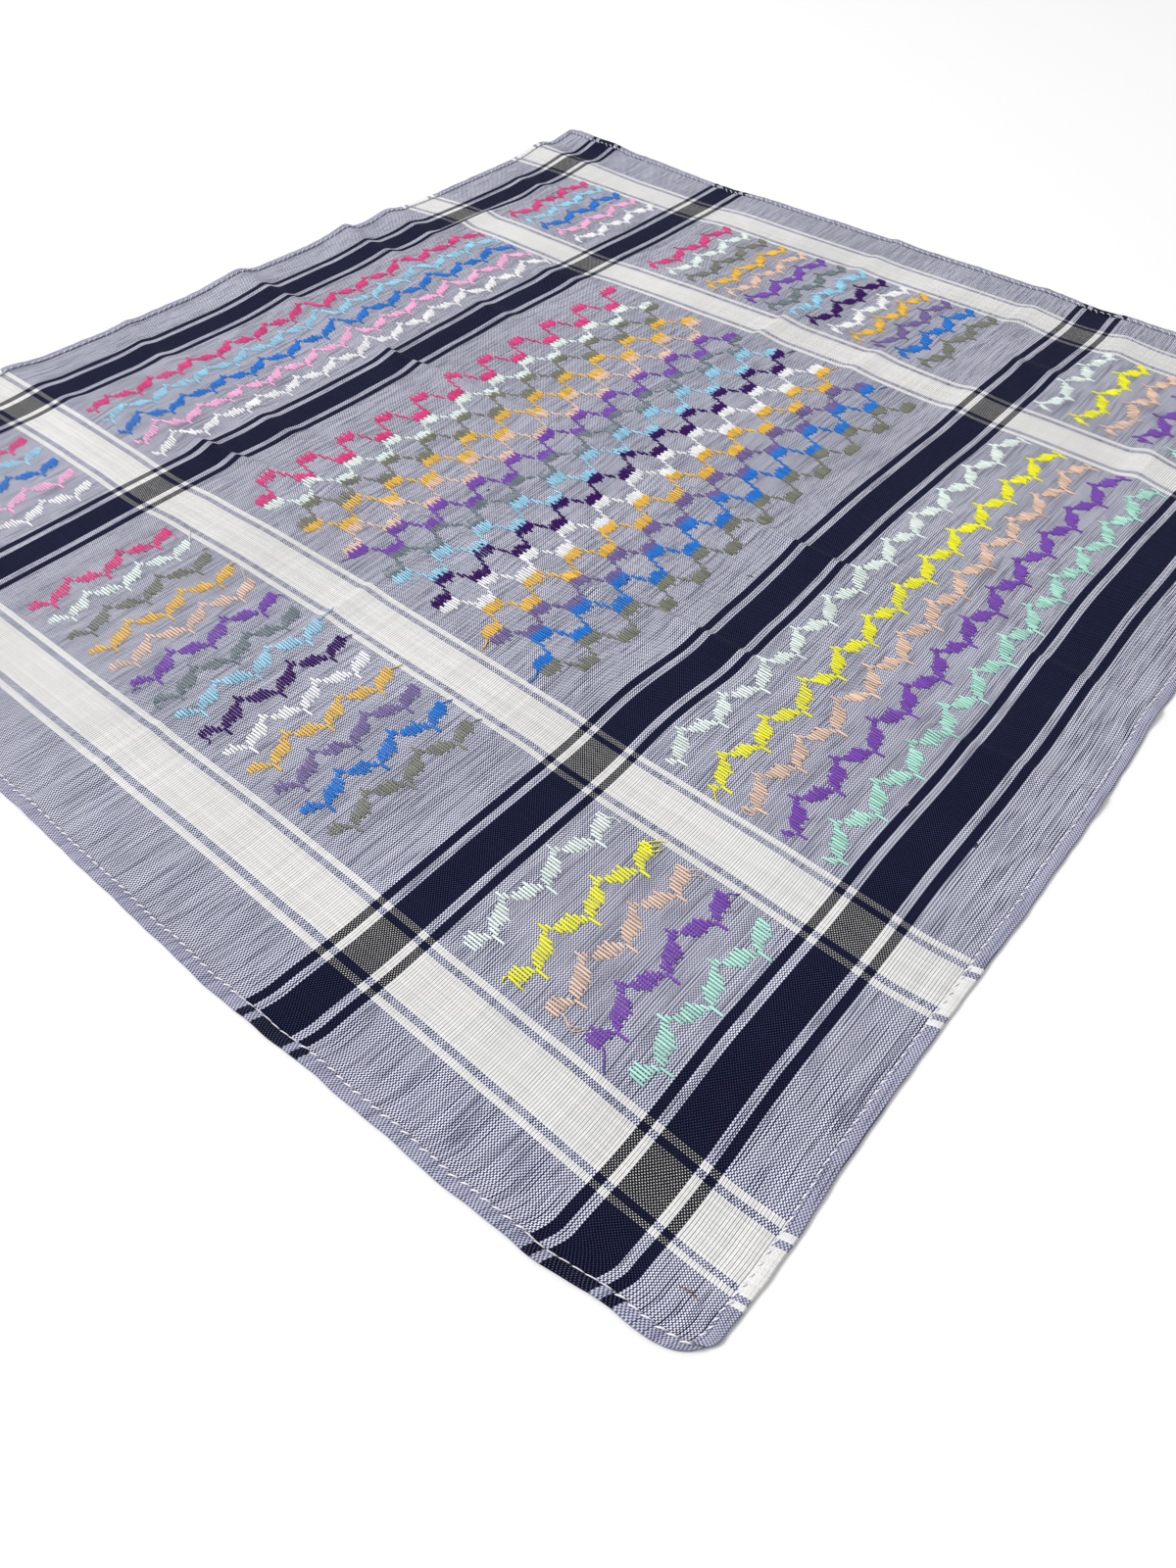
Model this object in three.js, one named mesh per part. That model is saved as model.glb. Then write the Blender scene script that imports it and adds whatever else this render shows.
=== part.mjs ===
// A square woven bandana laid face up on a table: one panel and the four narrow hems turned onto its face.
// Millimetres, with the table at z = 0. X runs along the dark stripes and Y along the white ones.
// The far right corner is at +X +Y. Old storage folds stand up from the table as soft ridges.

import * as THREE from "three";

// The flat cut, measured from the crossing of the two middle storage folds.
const cloth = {
  left: -271.5,
  right: 272.5,
  near: -253.5,
  far: 252.5,
  wall: 1.2,
  cornerRadius: 12,
};

// The hem lies on the panel's border, a little clear of it and of the next hem.
const hem = {
  width: 4.2,
  wall: 1.0,
  lift: 0.4,
  endGap: 0.5,
};

// The stripes that show how far the laid cloth has slid: from the middle to each one's centre line.
const stripes = {
  outerWhite: 235,
  innerWhite: 141.5,
  outerDark: 219.5,
  innerDark: 118.5,
};

// How far the cloth has slid along X, at the edges and at the four white stripes, row by row up Y.
const slideAlongX = {
  lines: [
    cloth.left, -stripes.outerWhite, -stripes.innerWhite,
    stripes.innerWhite, stripes.outerWhite, cloth.right,
  ],
  rows: named(["at", "leftEdge", "leftOuter", "leftInner", "rightInner", "rightOuter", "rightEdge"], [
    [-254, 7.0, -0.7, 0.0, -1.0, 0.6, -6.0],
    [-235, 6.0, -1.4, -1.2, -1.0, 0.8, -5.0],
    [-210, 2.4, -0.9, -0.5, -1.2, 1.0, -4.0],
    [-178, 1.0, 0.0, 0.3, -0.2, 1.2, -3.4],
    [-141, 0.3, 0.7, 0.7, 0.8, 1.9, -3.3],
    [-118, -1.0, 1.5, 1.0, 0.0, 0.4, -4.2],
    [-95, -1.8, 2.2, 2.3, 0.5, 1.2, -1.6],
    [-50, -1.1, 2.6, 3.1, 2.6, 2.2, 0.2],
    [0, -0.4, 2.1, 3.5, 2.6, 2.6, 1.0],
    [50, 0.0, 1.6, 3.3, 2.2, 2.8, 2.4],
    [90, 0.0, 1.3, 2.0, 1.0, 4.2, 3.6],
    [118, 0.0, 0.8, -0.3, -1.2, -0.4, 1.8],
    [150, 0.0, 0.5, 0.8, 0.5, 0.6, 3.4],
    [185, 0.0, 0.5, 1.3, 1.8, 1.5, 4.6],
    [220, 1.0, 0.2, 0.6, 0.8, 1.8, 6.0],
    [253, 2.5, 0.0, -0.5, -2.0, 1.0, 7.5],
  ]),
};

// How far the cloth has slid along Y, at the edges and at the four dark stripes, row by row along X.
const slideAlongY = {
  lines: [
    cloth.near, -stripes.outerDark, -stripes.innerDark,
    stripes.innerDark, stripes.outerDark, cloth.far,
  ],
  rows: named(["at", "nearEdge", "nearOuter", "nearInner", "farInner", "farOuter", "farEdge"], [
    [-272, -1.0, 3.4, 2.8, 0.0, 0.0, 0.0],
    [-260, -1.5, 0.0, 0.6, 0.0, -0.3, 0.0],
    [-235, -1.2, -0.7, -0.5, -0.2, -0.6, 0.0],
    [-188, 0.6, 0.6, -0.2, 0.2, -1.2, 0.3],
    [-145, 0.3, 0.4, -0.6, 1.0, -1.8, 0.5],
    [-110, -0.3, 1.2, 1.0, 1.0, -1.0, 0.4],
    [-70, -0.3, 0.7, -1.2, -0.6, -1.6, -0.4],
    [-45, 0.0, 0.7, -0.4, -0.9, -1.4, 0.2],
    [0, 1.8, 1.9, 1.4, 0.0, -0.8, 0.3],
    [45, 1.4, 3.2, 2.3, 1.6, 0.2, 0.0],
    [85, 0.6, 2.6, 1.8, 1.2, 0.0, 0.4],
    [118, 0.0, 1.4, 0.8, 0.8, -1.2, 0.0],
    [155, -0.4, 0.6, 1.0, 1.0, -1.6, -1.6],
    [190, 0.0, 0.4, 0.8, 0.0, -1.4, -0.4],
    [235, -0.6, 0.0, -0.3, 0.8, 0.2, 1.0],
    [273, -1.0, 1.5, 1.6, 2.4, 2.0, 0.6],
  ]),
};

// Folds whose crest runs up Y. Each row gives the crest's x, its height, and how wide its two slopes are:
// the long one towards -X and the short one towards +X.
const foldsAlongY = {
  leftSlant: [
    { at: -254, crest: -47, height: 0.5, rise: 14, fall: 8 },
    { at: -118, crest: -64, height: 1.0, rise: 14, fall: 8 },
    { at: 0, crest: -84, height: 1.8, rise: 14, fall: 8 },
    { at: 118, crest: -105, height: 2.5, rise: 14, fall: 8 },
    { at: 153, crest: -110, height: 2.4, rise: 16, fall: 8 },
    { at: 220, crest: -126, height: 1.2, rise: 20, fall: 12 },
    { at: 253, crest: -129, height: 3.2, rise: 25, fall: 18 },
  ],
  middle: [
    { at: -254, crest: 1.2, height: 1.2, rise: 18, fall: 8 },
    { at: -118, crest: 1.2, height: 0.9, rise: 18, fall: 8 },
    { at: 0, crest: 1.2, height: 2.4, rise: 18, fall: 8 },
    { at: 118, crest: 1.2, height: 3.0, rise: 20, fall: 8 },
    { at: 220, crest: 1.2, height: 3.7, rise: 38, fall: 8 },
    { at: 253, crest: 1.2, height: 4.0, rise: 40, fall: 9 },
  ],
  rightCrease: [
    { at: 70, crest: 63, height: 0.0, rise: 24, fall: 9 },
    { at: 118, crest: 66, height: 1.4, rise: 24, fall: 9 },
    { at: 220, crest: 76, height: 2.5, rise: 28, fall: 9 },
    { at: 253, crest: 84, height: 2.9, rise: 30, fall: 9 },
  ],
  rightTwin: [
    { at: 47, crest: 127, height: 0.0, rise: 14, fall: 12 },
    { at: 118, crest: 118, height: 1.2, rise: 14, fall: 12 },
    { at: 200, crest: 106, height: 1.9, rise: 14, fall: 12 },
    { at: 253, crest: 114, height: 2.1, rise: 16, fall: 14 },
  ],
  lowerRight: [
    { at: -212, crest: 181, height: 0.0, rise: 20, fall: 10 },
    { at: -118, crest: 188, height: 2.0, rise: 20, fall: 10 },
    { at: -35, crest: 193, height: 0.0, rise: 20, fall: 10 },
  ],
  cornerRidge: [
    { at: 165, crest: 244, height: 0.0, rise: 24, fall: 13 },
    { at: 220, crest: 242, height: 2.4, rise: 24, fall: 13 },
    { at: 253, crest: 245, height: 3.2, rise: 26, fall: 14 },
  ],
  cornerEdge: [
    { at: 130, crest: 273, height: 0.0, rise: 18, fall: 14 },
    { at: 188, crest: 273, height: 2.0, rise: 18, fall: 14 },
    { at: 218, crest: 273, height: 4.0, rise: 20, fall: 14 },
    { at: 253, crest: 273, height: 4.6, rise: 22, fall: 14 },
  ],
};

// Folds whose crest runs along X, in the same columns: crest is a y, and the long slope is towards -Y.
const foldsAlongX = {
  middle: [
    { at: -272, crest: 1.2, height: 0.9, rise: 19, fall: 8 },
    { at: 0, crest: 1.2, height: 1.4, rise: 19, fall: 8 },
    { at: 141, crest: 1.2, height: 2.0, rise: 19, fall: 8 },
    { at: 273, crest: 1.2, height: 1.7, rise: 19, fall: 8 },
  ],
  rightLower: [
    { at: 95, crest: -110, height: 0.0, rise: 22, fall: 10 },
    { at: 141, crest: -107, height: 1.5, rise: 22, fall: 10 },
    { at: 235, crest: -91, height: 2.8, rise: 22, fall: 10 },
    { at: 273, crest: -88, height: 2.0, rise: 22, fall: 10 },
  ],
  nearRight: [
    { at: 95, crest: -203, height: 0.0, rise: 18, fall: 10 },
    { at: 141, crest: -191, height: 2.6, rise: 18, fall: 10 },
    { at: 235, crest: -141, height: 1.7, rise: 18, fall: 10 },
    { at: 273, crest: -134, height: 1.0, rise: 18, fall: 10 },
  ],
};

// How many strips the panel has between its hem lines and the feet and crests of its main folds.
const strips = {
  betweenHemAndSlant: 11,
  foldRise: 2,
  foldFall: 1,
  betweenSlantAndMiddle: 4,
  betweenMiddleAndRight: 3,
  betweenRightAndHem: 18,
  nearHalf: 20,
  farHalf: 20,
};

/** A table's rows, written as lists under one list of column names, as rows of named values. */
function named(columns, rows) {
  return rows.map((row) => Object.fromEntries(columns.map((name, place) => [name, row[place]])));
}

/** A smooth step from 0 to 1 as part goes from 0 to 1. */
function ease(part) {
  return part * part * (3 - 2 * part);
}

/** The row of a table at a place along it, eased between the rows on either side; null outside the table. */
function rowAt(rows, at) {
  const last = rows.length - 1;
  if (at < rows[0].at || at > rows[last].at) {
    return null;
  }
  let next = 1;
  while (next < last && rows[next].at < at) {
    next += 1;
  }
  const from = rows[next - 1];
  const to = rows[next];
  const part = ease((at - from.at) / (to.at - from.at));
  const between = (name) => THREE.MathUtils.lerp(from[name], to[name], part);
  return Object.fromEntries(Object.keys(from).map((name) => [name, between(name)]));
}

/** The row of a table at a place along it; past the table's ends, its first or last row. */
function heldRowAt(rows, at) {
  return rowAt(rows, THREE.MathUtils.clamp(at, rows[0].at, rows[rows.length - 1].at));
}

/** The slide read from one table: a row at a place along the cloth, then eased between its stripes. */
function slide({ lines, rows }, along, across) {
  const [, ...values] = Object.values(heldRowAt(rows, along));
  const place = THREE.MathUtils.clamp(across, lines[0], lines[lines.length - 1]);
  let next = 1;
  while (next < lines.length - 1 && lines[next] < place) {
    next += 1;
  }
  const part = ease((place - lines[next - 1]) / (lines[next] - lines[next - 1]));
  return values[next - 1] + (values[next] - values[next - 1]) * part;
}

/** The height of one fold: it climbs slowly up its long slope and drops down its short one. */
function foldHeight(rows, along, across) {
  const fold = rowAt(rows, along);
  if (fold === null) {
    return 0;
  }
  const away = across - fold.crest;
  if (away < 0) {
    return fold.height * Math.pow(Math.max(0, 1 + away / fold.rise), 1.5);
  }
  return fold.height * ease(Math.max(0, 1 - away / fold.fall));
}

/** The height of the cloth's underside: all folds together, where the higher one leads. */
function liftAt(x, y) {
  const alongY = Object.values(foldsAlongY).map((rows) => foldHeight(rows, y, x));
  const alongX = Object.values(foldsAlongX).map((rows) => foldHeight(rows, x, y));
  return Math.hypot(...alongY, ...alongX);
}

/** Rounds the four corners: the square over each corner is drawn in to a quarter disc. */
function roundCorner(x, y) {
  const radius = cloth.cornerRadius;
  const innerX = THREE.MathUtils.clamp(x, cloth.left + radius, cloth.right - radius);
  const innerY = THREE.MathUtils.clamp(y, cloth.near + radius, cloth.far - radius);
  const outX = (x - innerX) / radius;
  const outY = (y - innerY) / radius;
  return [
    innerX + radius * outX * Math.sqrt(1 - (outY * outY) / 2),
    innerY + radius * outY * Math.sqrt(1 - (outX * outX) / 2),
  ];
}

/** Where a point of the flat cut lies on the table, raised by a height over the cloth's underside. */
function layPoint(x, y, raise) {
  const [roundX, roundY] = roundCorner(x, y);
  return new THREE.Vector3(
    roundX + slide(slideAlongX, y, x),
    roundY + slide(slideAlongY, x, y),
    liftAt(x, y) + raise,
  );
}

/** Evenly spaced steps from one knot to the next, for a list of knots and the count of steps after each. */
function stepsBetween(knots, counts) {
  const steps = [knots[0]];
  counts.forEach((count, index) => {
    for (let step = 1; step <= count; step += 1) {
      steps.push(THREE.MathUtils.lerp(knots[index], knots[index + 1], step / count));
    }
  });
  return steps;
}

/** The crest and feet of a fold at a place along it; past its ends the nearest end's. */
function footAndCrest(rows, along) {
  const fold = heldRowAt(rows, along);
  return [fold.crest - fold.rise, fold.crest, fold.crest + fold.fall];
}

/** The x of every column line of the panel at one y: the lines follow the three long folds up the cloth. */
function columnsAt(y) {
  const knots = [
    cloth.left,
    cloth.left + hem.width,
    ...footAndCrest(foldsAlongY.leftSlant, y),
    ...footAndCrest(foldsAlongY.middle, y),
    ...footAndCrest(foldsAlongY.rightCrease, y),
    cloth.right - hem.width,
    cloth.right,
  ];
  const { foldRise, foldFall } = strips;
  const counts = [
    1, strips.betweenHemAndSlant,
    foldRise, foldFall, strips.betweenSlantAndMiddle,
    foldRise, foldFall, strips.betweenMiddleAndRight,
    foldRise, foldFall, strips.betweenRightAndHem, 1,
  ];
  return stepsBetween(knots, counts);
}

/** The y of every row line of the panel: straight lines, two of them on the feet of the middle fold. */
function rowLines() {
  const knots = [
    cloth.near,
    cloth.near + hem.width,
    ...footAndCrest(foldsAlongX.middle, 0),
    cloth.far - hem.width,
    cloth.far,
  ];
  return stepsBetween(knots, [1, strips.nearHalf, strips.foldRise, strips.foldFall, strips.farHalf, 1]);
}

/** A closed wall over a grid of flat points: its underside, its top a wall higher, and the rim round it. */
function wallOver(grid, base, wall) {
  const rowCount = grid.length;
  const columnCount = grid[0].length;
  const layerSize = rowCount * columnCount;
  const positions = [];
  [base, base + wall].forEach((raise) => {
    grid.forEach((row) => {
      row.forEach(([x, y]) => {
        positions.push(...layPoint(x, y, raise).toArray());
      });
    });
  });
  const index = [];
  const under = (row, column) => row * columnCount + column;
  const over = (row, column) => layerSize + under(row, column);
  for (let row = 0; row + 1 < rowCount; row += 1) {
    for (let column = 0; column + 1 < columnCount; column += 1) {
      const corners = [[row, column], [row, column + 1], [row + 1, column + 1], [row + 1, column]];
      const [a, b, c, d] = corners.map((corner) => over(...corner));
      const [e, f, g, h] = corners.map((corner) => under(...corner));
      index.push(a, b, c, a, c, d);
      index.push(e, g, f, e, h, g);
    }
  }
  const rim = [];
  for (let column = 0; column + 1 < columnCount; column += 1) {
    rim.push([0, column]);
  }
  for (let row = 0; row + 1 < rowCount; row += 1) {
    rim.push([row, columnCount - 1]);
  }
  for (let column = columnCount - 1; column > 0; column -= 1) {
    rim.push([rowCount - 1, column]);
  }
  for (let row = rowCount - 1; row > 0; row -= 1) {
    rim.push([row, 0]);
  }
  rim.forEach((from, place) => {
    const to = rim[(place + 1) % rim.length];
    index.push(under(...from), under(...to), over(...to));
    index.push(under(...from), over(...to), over(...from));
  });
  const geometry = new THREE.BufferGeometry();
  geometry.setAttribute("position", new THREE.Float32BufferAttribute(positions, 3));
  geometry.setIndex(index);
  geometry.computeVertexNormals();
  return geometry;
}

/** The panel: every column line on every row line. */
function panelGrid() {
  return rowLines().map((y) => columnsAt(y).map((x) => [x, y]));
}

/** A hem up the left or right side: the panel's outermost strip, from corner to corner. */
function sideHemGrid(outer, inner) {
  const [low, high] = [Math.min(outer, inner), Math.max(outer, inner)];
  return rowLines().map((y) => [[low, y], [high, y]]);
}

/** A hem along the near or far side: the panel's outermost strip, stopping just short of the side hems. */
function endHemGrid(outer, inner) {
  const lowX = cloth.left + hem.width + hem.endGap;
  const highX = cloth.right - hem.width - hem.endGap;
  return [Math.min(outer, inner), Math.max(outer, inner)].map((y) => {
    const within = columnsAt(y).filter((x) => x > lowX + hem.width && x < highX - hem.width);
    return [lowX, ...within, highX].map((x) => [x, y]);
  });
}

const finishes = {
  wovenCotton: new THREE.MeshStandardMaterial({ color: 0xa2a4ba, roughness: 0.9, metalness: 0 }),
  turnedHem: new THREE.MeshStandardMaterial({ color: 0x9a9cb8, roughness: 0.9, metalness: 0 }),
};

/** One named piece of cloth with its own material. */
function piece(name, grid, base, wall, finish) {
  const mesh = new THREE.Mesh(wallOver(grid, base, wall), finishes[finish].clone());
  mesh.name = name;
  return mesh;
}

const hemBase = cloth.wall + hem.lift;
const hems = [
  ["hem_near_left", sideHemGrid(cloth.left, cloth.left + hem.width)],
  ["hem_far_right", sideHemGrid(cloth.right, cloth.right - hem.width)],
  ["hem_near_right", endHemGrid(cloth.near, cloth.near + hem.width)],
  ["hem_far_left", endHemGrid(cloth.far, cloth.far - hem.width)],
];

const bandana = new THREE.Group();
bandana.add(piece("cloth_panel", panelGrid(), 0, cloth.wall, "wovenCotton"));
hems.forEach(([name, grid]) => {
  bandana.add(piece(name, grid, hemBase, hem.wall, "turnedHem"));
});

// The origin is on the table, under the middle of the laid cloth.
const box = new THREE.Box3().setFromObject(bandana);
const middle = box.getCenter(new THREE.Vector3());
bandana.position.set(-middle.x, -middle.y, 0);
bandana.updateMatrixWorld(true);

export default bandana;
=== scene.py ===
"""A square woven bandana laid face up on a pale floor.

The cloth is one thin panel with four narrow hems turned onto its face. Everything is worked out on the flat
cut first, in millimetres from the crossing of the two middle storage folds: X along the dark stripes and Y
along the white ones. LaidCloth then carries a flat point to where it lies, in metres, so the panel, the
hems, the sewing and the brocade threads all follow the same folds.
"""

from __future__ import annotations

import logging
import math
from dataclasses import dataclass, field
from enum import Enum
from typing import NamedTuple, Union

import bpy
import numpy as np
from mathutils import Matrix, Vector
from numpy.typing import NDArray


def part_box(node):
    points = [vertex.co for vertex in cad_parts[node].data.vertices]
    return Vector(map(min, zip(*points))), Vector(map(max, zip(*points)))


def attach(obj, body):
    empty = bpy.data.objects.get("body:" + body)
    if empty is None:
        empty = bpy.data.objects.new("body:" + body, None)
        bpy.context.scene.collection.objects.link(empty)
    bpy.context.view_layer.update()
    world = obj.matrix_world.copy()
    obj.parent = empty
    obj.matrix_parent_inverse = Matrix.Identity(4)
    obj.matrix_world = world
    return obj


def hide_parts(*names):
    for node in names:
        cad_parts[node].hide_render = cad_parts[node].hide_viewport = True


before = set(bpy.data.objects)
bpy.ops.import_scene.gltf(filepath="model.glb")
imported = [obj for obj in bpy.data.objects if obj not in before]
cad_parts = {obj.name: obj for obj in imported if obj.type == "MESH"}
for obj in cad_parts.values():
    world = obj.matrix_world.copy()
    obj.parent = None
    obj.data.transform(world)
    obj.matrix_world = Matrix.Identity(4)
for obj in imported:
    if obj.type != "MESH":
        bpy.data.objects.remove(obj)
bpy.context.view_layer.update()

LOG = logging.getLogger("bandana")
MM = 0.001

Array = NDArray[np.float64]
Colour = tuple[float, float, float]
Place = tuple[float, float, float]

UPRIGHT: Array = np.array([0.0, 0.0, 1.0])


def linear(red: int, green: int, blue: int) -> Colour:
    """A colour as it is named on a screen, 0 to 255, as linear light.

    Args:
        red: Red.
        green: Green.
        blue: Blue.

    Returns:
        The three linear values, by the usual curve: a short straight toe, then a power of 2.4.
    """

    def one(value: int) -> float:
        """One channel."""
        part = value / 255
        return part / 12.92 if part <= 0.04045 else ((part + 0.055) / 1.055) ** 2.4

    return one(red), one(green), one(blue)


def ease(part: Array) -> Array:
    """A smooth step: three parts squared less two parts cubed, flat at 0 and at 1."""
    return part * part * (3 - 2 * part)


def eased_rows(rows: Array, at: Array) -> Array:
    """Reads a table between its rows.

    Args:
        rows: One row for each place, the place in its first column.
        at: Places to read.

    Returns:
        The other columns, in a last axis, eased from the row before each place to the row after it.
    """
    after = np.clip(np.searchsorted(rows[:, 0], at), 1, len(rows) - 1)
    before, beyond = rows[after - 1], rows[after]
    part = ease(np.clip((at - before[..., 0]) / (beyond[..., 0] - before[..., 0]), 0, 1))
    return before[..., 1:] + (beyond[..., 1:] - before[..., 1:]) * part[..., None]


@dataclass(frozen=True)
class Cut:
    """The flat cut, in millimetres from the crossing of the middle folds."""

    left: float = -271.5
    right: float = 272.5
    near: float = -253.5
    far: float = 252.5
    corner_radius: float = 12.0

    @property
    def width(self) -> float:
        """From the left edge to the right one."""
        return self.right - self.left

    @property
    def length(self) -> float:
        """From the near edge to the far one."""
        return self.far - self.near


CUT = Cut()

# Where the middles of the white stripes lie along X, and those of the navy ones along Y.
WHITE_BANDS = (-235.0, -141.5, 141.5, 235.0)
NAVY_BANDS = (-219.5, -118.5, 118.5, 219.5)

# The thickness of the panel, and how far apart the stitches of the hems are, in millimetres.
PANEL_WALL = 0.45
STITCH_PITCH = 3.4

# How far the UV map of each thread is shifted from the last one's, round it, and how many times as far
# along it, so that no two threads show the same fibres.
UV_SHIFT = 0.0137
UV_SHIFT_ALONG = 1.7


class FoldRow(NamedTuple):
    """A fold at one place along it: its crest's place, its height, and the widths of its two slopes."""

    at: float
    crest: float
    height: float
    rise: float
    fall: float


class Runs(Enum):
    """Which way a fold's crest runs."""

    UP_Y = "up y"
    ALONG_X = "along x"


@dataclass(frozen=True)
class Fold:
    """A storage fold: a long slope that climbs towards the crest and a short one that drops behind it."""

    runs: Runs
    rows: tuple[FoldRow, ...]
    climb: float = 1.5

    def crest(self, along: Array) -> Array:
        """Where the crest lies across the fold, at places along it."""
        return eased_rows(np.array(self.rows), along)[..., 0]

    def height(self, x: Array, y: Array) -> Array:
        """How high the fold lifts the cloth.

        Args:
            x: Flat places.
            y: Flat places.

        Returns:
            Before the crest, the height times the part of the slope climbed, to the power of the climb,
            and behind it the height times a smooth step down.
        """
        along, across = (y, x) if self.runs is Runs.UP_Y else (x, y)
        crest, height, rise, fall = np.moveaxis(eased_rows(np.array(self.rows), along), -1, 0)
        away = across - crest
        slow = np.clip(1 + away / rise, 0, None) ** self.climb
        quick = ease(np.clip(1 - away / fall, 0, 1))
        inside = (along >= self.rows[0].at) & (along <= self.rows[-1].at)
        return np.where(inside, height * np.where(away < 0, slow, quick), 0.0)


def fold(runs: Runs, *rows: tuple[float, float, float, float, float]) -> Fold:
    """A fold from its rows: at, crest, height, rise, fall."""
    return Fold(runs, tuple(FoldRow(*row) for row in rows))


MAIN_FOLDS: dict[str, Fold] = {
    "left_slant": fold(
        Runs.UP_Y,
        (-254, -50, 1.0, 12, 4),
        (-118, -68, 1.9, 12, 3.5),
        (0, -86, 2.0, 12, 3.5),
        (118, -104.5, 2.3, 9, 3),
        (153, -110, 2.3, 12, 4),
        (220, -127, 1.2, 18, 12),
        (253, -129, 2.3, 24, 20),
    ),
    "middle": fold(
        Runs.UP_Y,
        (-254, 0.0, 1.4, 14, 3.5),
        (-118, -0.8, 1.9, 12, 3),
        (0, 0.5, 2.2, 12, 3),
        (118, 2.6, 2.2, 13, 3),
        (220, 5.0, 2.8, 32, 7),
        (253, 7.0, 3.1, 36, 13),
    ),
    "right_crease": fold(
        Runs.UP_Y,
        (70, 63, 0.0, 24, 9),
        (118, 66, 1.4, 24, 9),
        (220, 76, 2.5, 28, 9),
        (253, 84, 2.9, 30, 9),
    ),
    "right_twin": fold(
        Runs.UP_Y,
        (47, 127, 0.0, 14, 12),
        (118, 118, 1.2, 14, 12),
        (200, 106, 1.9, 14, 12),
        (253, 114, 2.1, 16, 14),
    ),
    "lower_right": fold(
        Runs.UP_Y,
        (-212, 181, 0.0, 20, 10),
        (-118, 188, 2.0, 20, 10),
        (-35, 193, 0.0, 20, 10),
    ),
    "corner_ridge": fold(
        Runs.UP_Y,
        (165, 244, 0.0, 24, 13),
        (220, 242, 2.4, 24, 13),
        (253, 245, 3.2, 26, 14),
    ),
    "corner_edge": fold(
        Runs.UP_Y,
        (130, 273, 0.0, 18, 14),
        (188, 273, 2.0, 18, 14),
        (218, 273, 4.0, 20, 14),
        (253, 273, 4.6, 22, 14),
    ),
    "middle_across": fold(
        Runs.ALONG_X,
        (-272, 1.2, 1.1, 14, 4),
        (0, 1.2, 1.6, 14, 4),
        (141, 1.2, 2.0, 15, 4),
        (273, 1.2, 0.9, 16, 7),
    ),
    "right_lower": fold(
        Runs.ALONG_X,
        (95, -110, 0.0, 22, 10),
        (141, -107, 1.5, 22, 10),
        (235, -91, 2.0, 22, 10),
        (273, -88, 0.8, 22, 10),
    ),
    "near_right": fold(
        Runs.ALONG_X,
        (95, -203, 0.0, 18, 10),
        (141, -191, 2.6, 18, 10),
        (235, -141, 1.7, 18, 10),
        (273, -134, 0.4, 18, 10),
    ),
}

# Smaller creases, lower and narrower than the main folds.
SMALL_FOLDS: dict[str, Fold] = {
    "left_second": fold(
        Runs.UP_Y,
        (82, -78, 0.0, 14, 8),
        (118, -76.5, 1.3, 14, 8),
        (220, -74, 1.3, 14, 8),
        (253, -63, 0.8, 14, 8),
    ),
    "block_ridge": fold(
        Runs.UP_Y,
        (165, 196, 0.0, 14, 10),
        (212, 199, 1.6, 14, 10),
        (235, 200, 0.8, 14, 10),
        (253, 200, 0.0, 14, 10),
    ),
    "right_middle": fold(
        Runs.ALONG_X,
        (105, -48, 0.0, 14, 7),
        (141, -53, 1.6, 14, 7),
        (180, -58, 0.8, 14, 7),
        (215, -62, 0.0, 14, 7),
    ),
    "far_ripple_left": fold(
        Runs.ALONG_X,
        (96, 206, 0.0, 9, 7),
        (118, 208, 2.0, 9, 7),
        (146, 208, 2.4, 9, 7),
        (165, 208, 0.8, 9, 7),
        (178, 208, 0.0, 9, 7),
    ),
    "far_ripple_right": fold(
        Runs.ALONG_X,
        (180, 207, 0.0, 9, 7),
        (196, 208, 1.6, 9, 7),
        (212, 208, 0.0, 9, 7),
    ),
}


@dataclass(frozen=True)
class Drift:
    """How far the laid cloth has slid one way: rows along the cloth, and one column for each stripe line."""

    lines: tuple[float, ...]
    rows: tuple[tuple[float, ...], ...]

    def at(self, along: Array, across: Array) -> Array:
        """The slide at flat places.

        Args:
            along: Places down the table.
            across: Places across it, from its first line to its last.

        Returns:
            The row at each place, eased between the two lines on either side.
        """
        columns = eased_rows(np.array(self.rows), along)
        lines = np.array(self.lines)
        place = np.clip(across, lines[0], lines[-1])
        after = np.clip(np.searchsorted(lines, place), 1, len(lines) - 1)
        part = ease((place - lines[after - 1]) / (lines[after] - lines[after - 1]))
        low = np.take_along_axis(columns, after[..., None] - 1, -1)[..., 0]
        high = np.take_along_axis(columns, after[..., None], -1)[..., 0]
        return low + (high - low) * part


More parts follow.
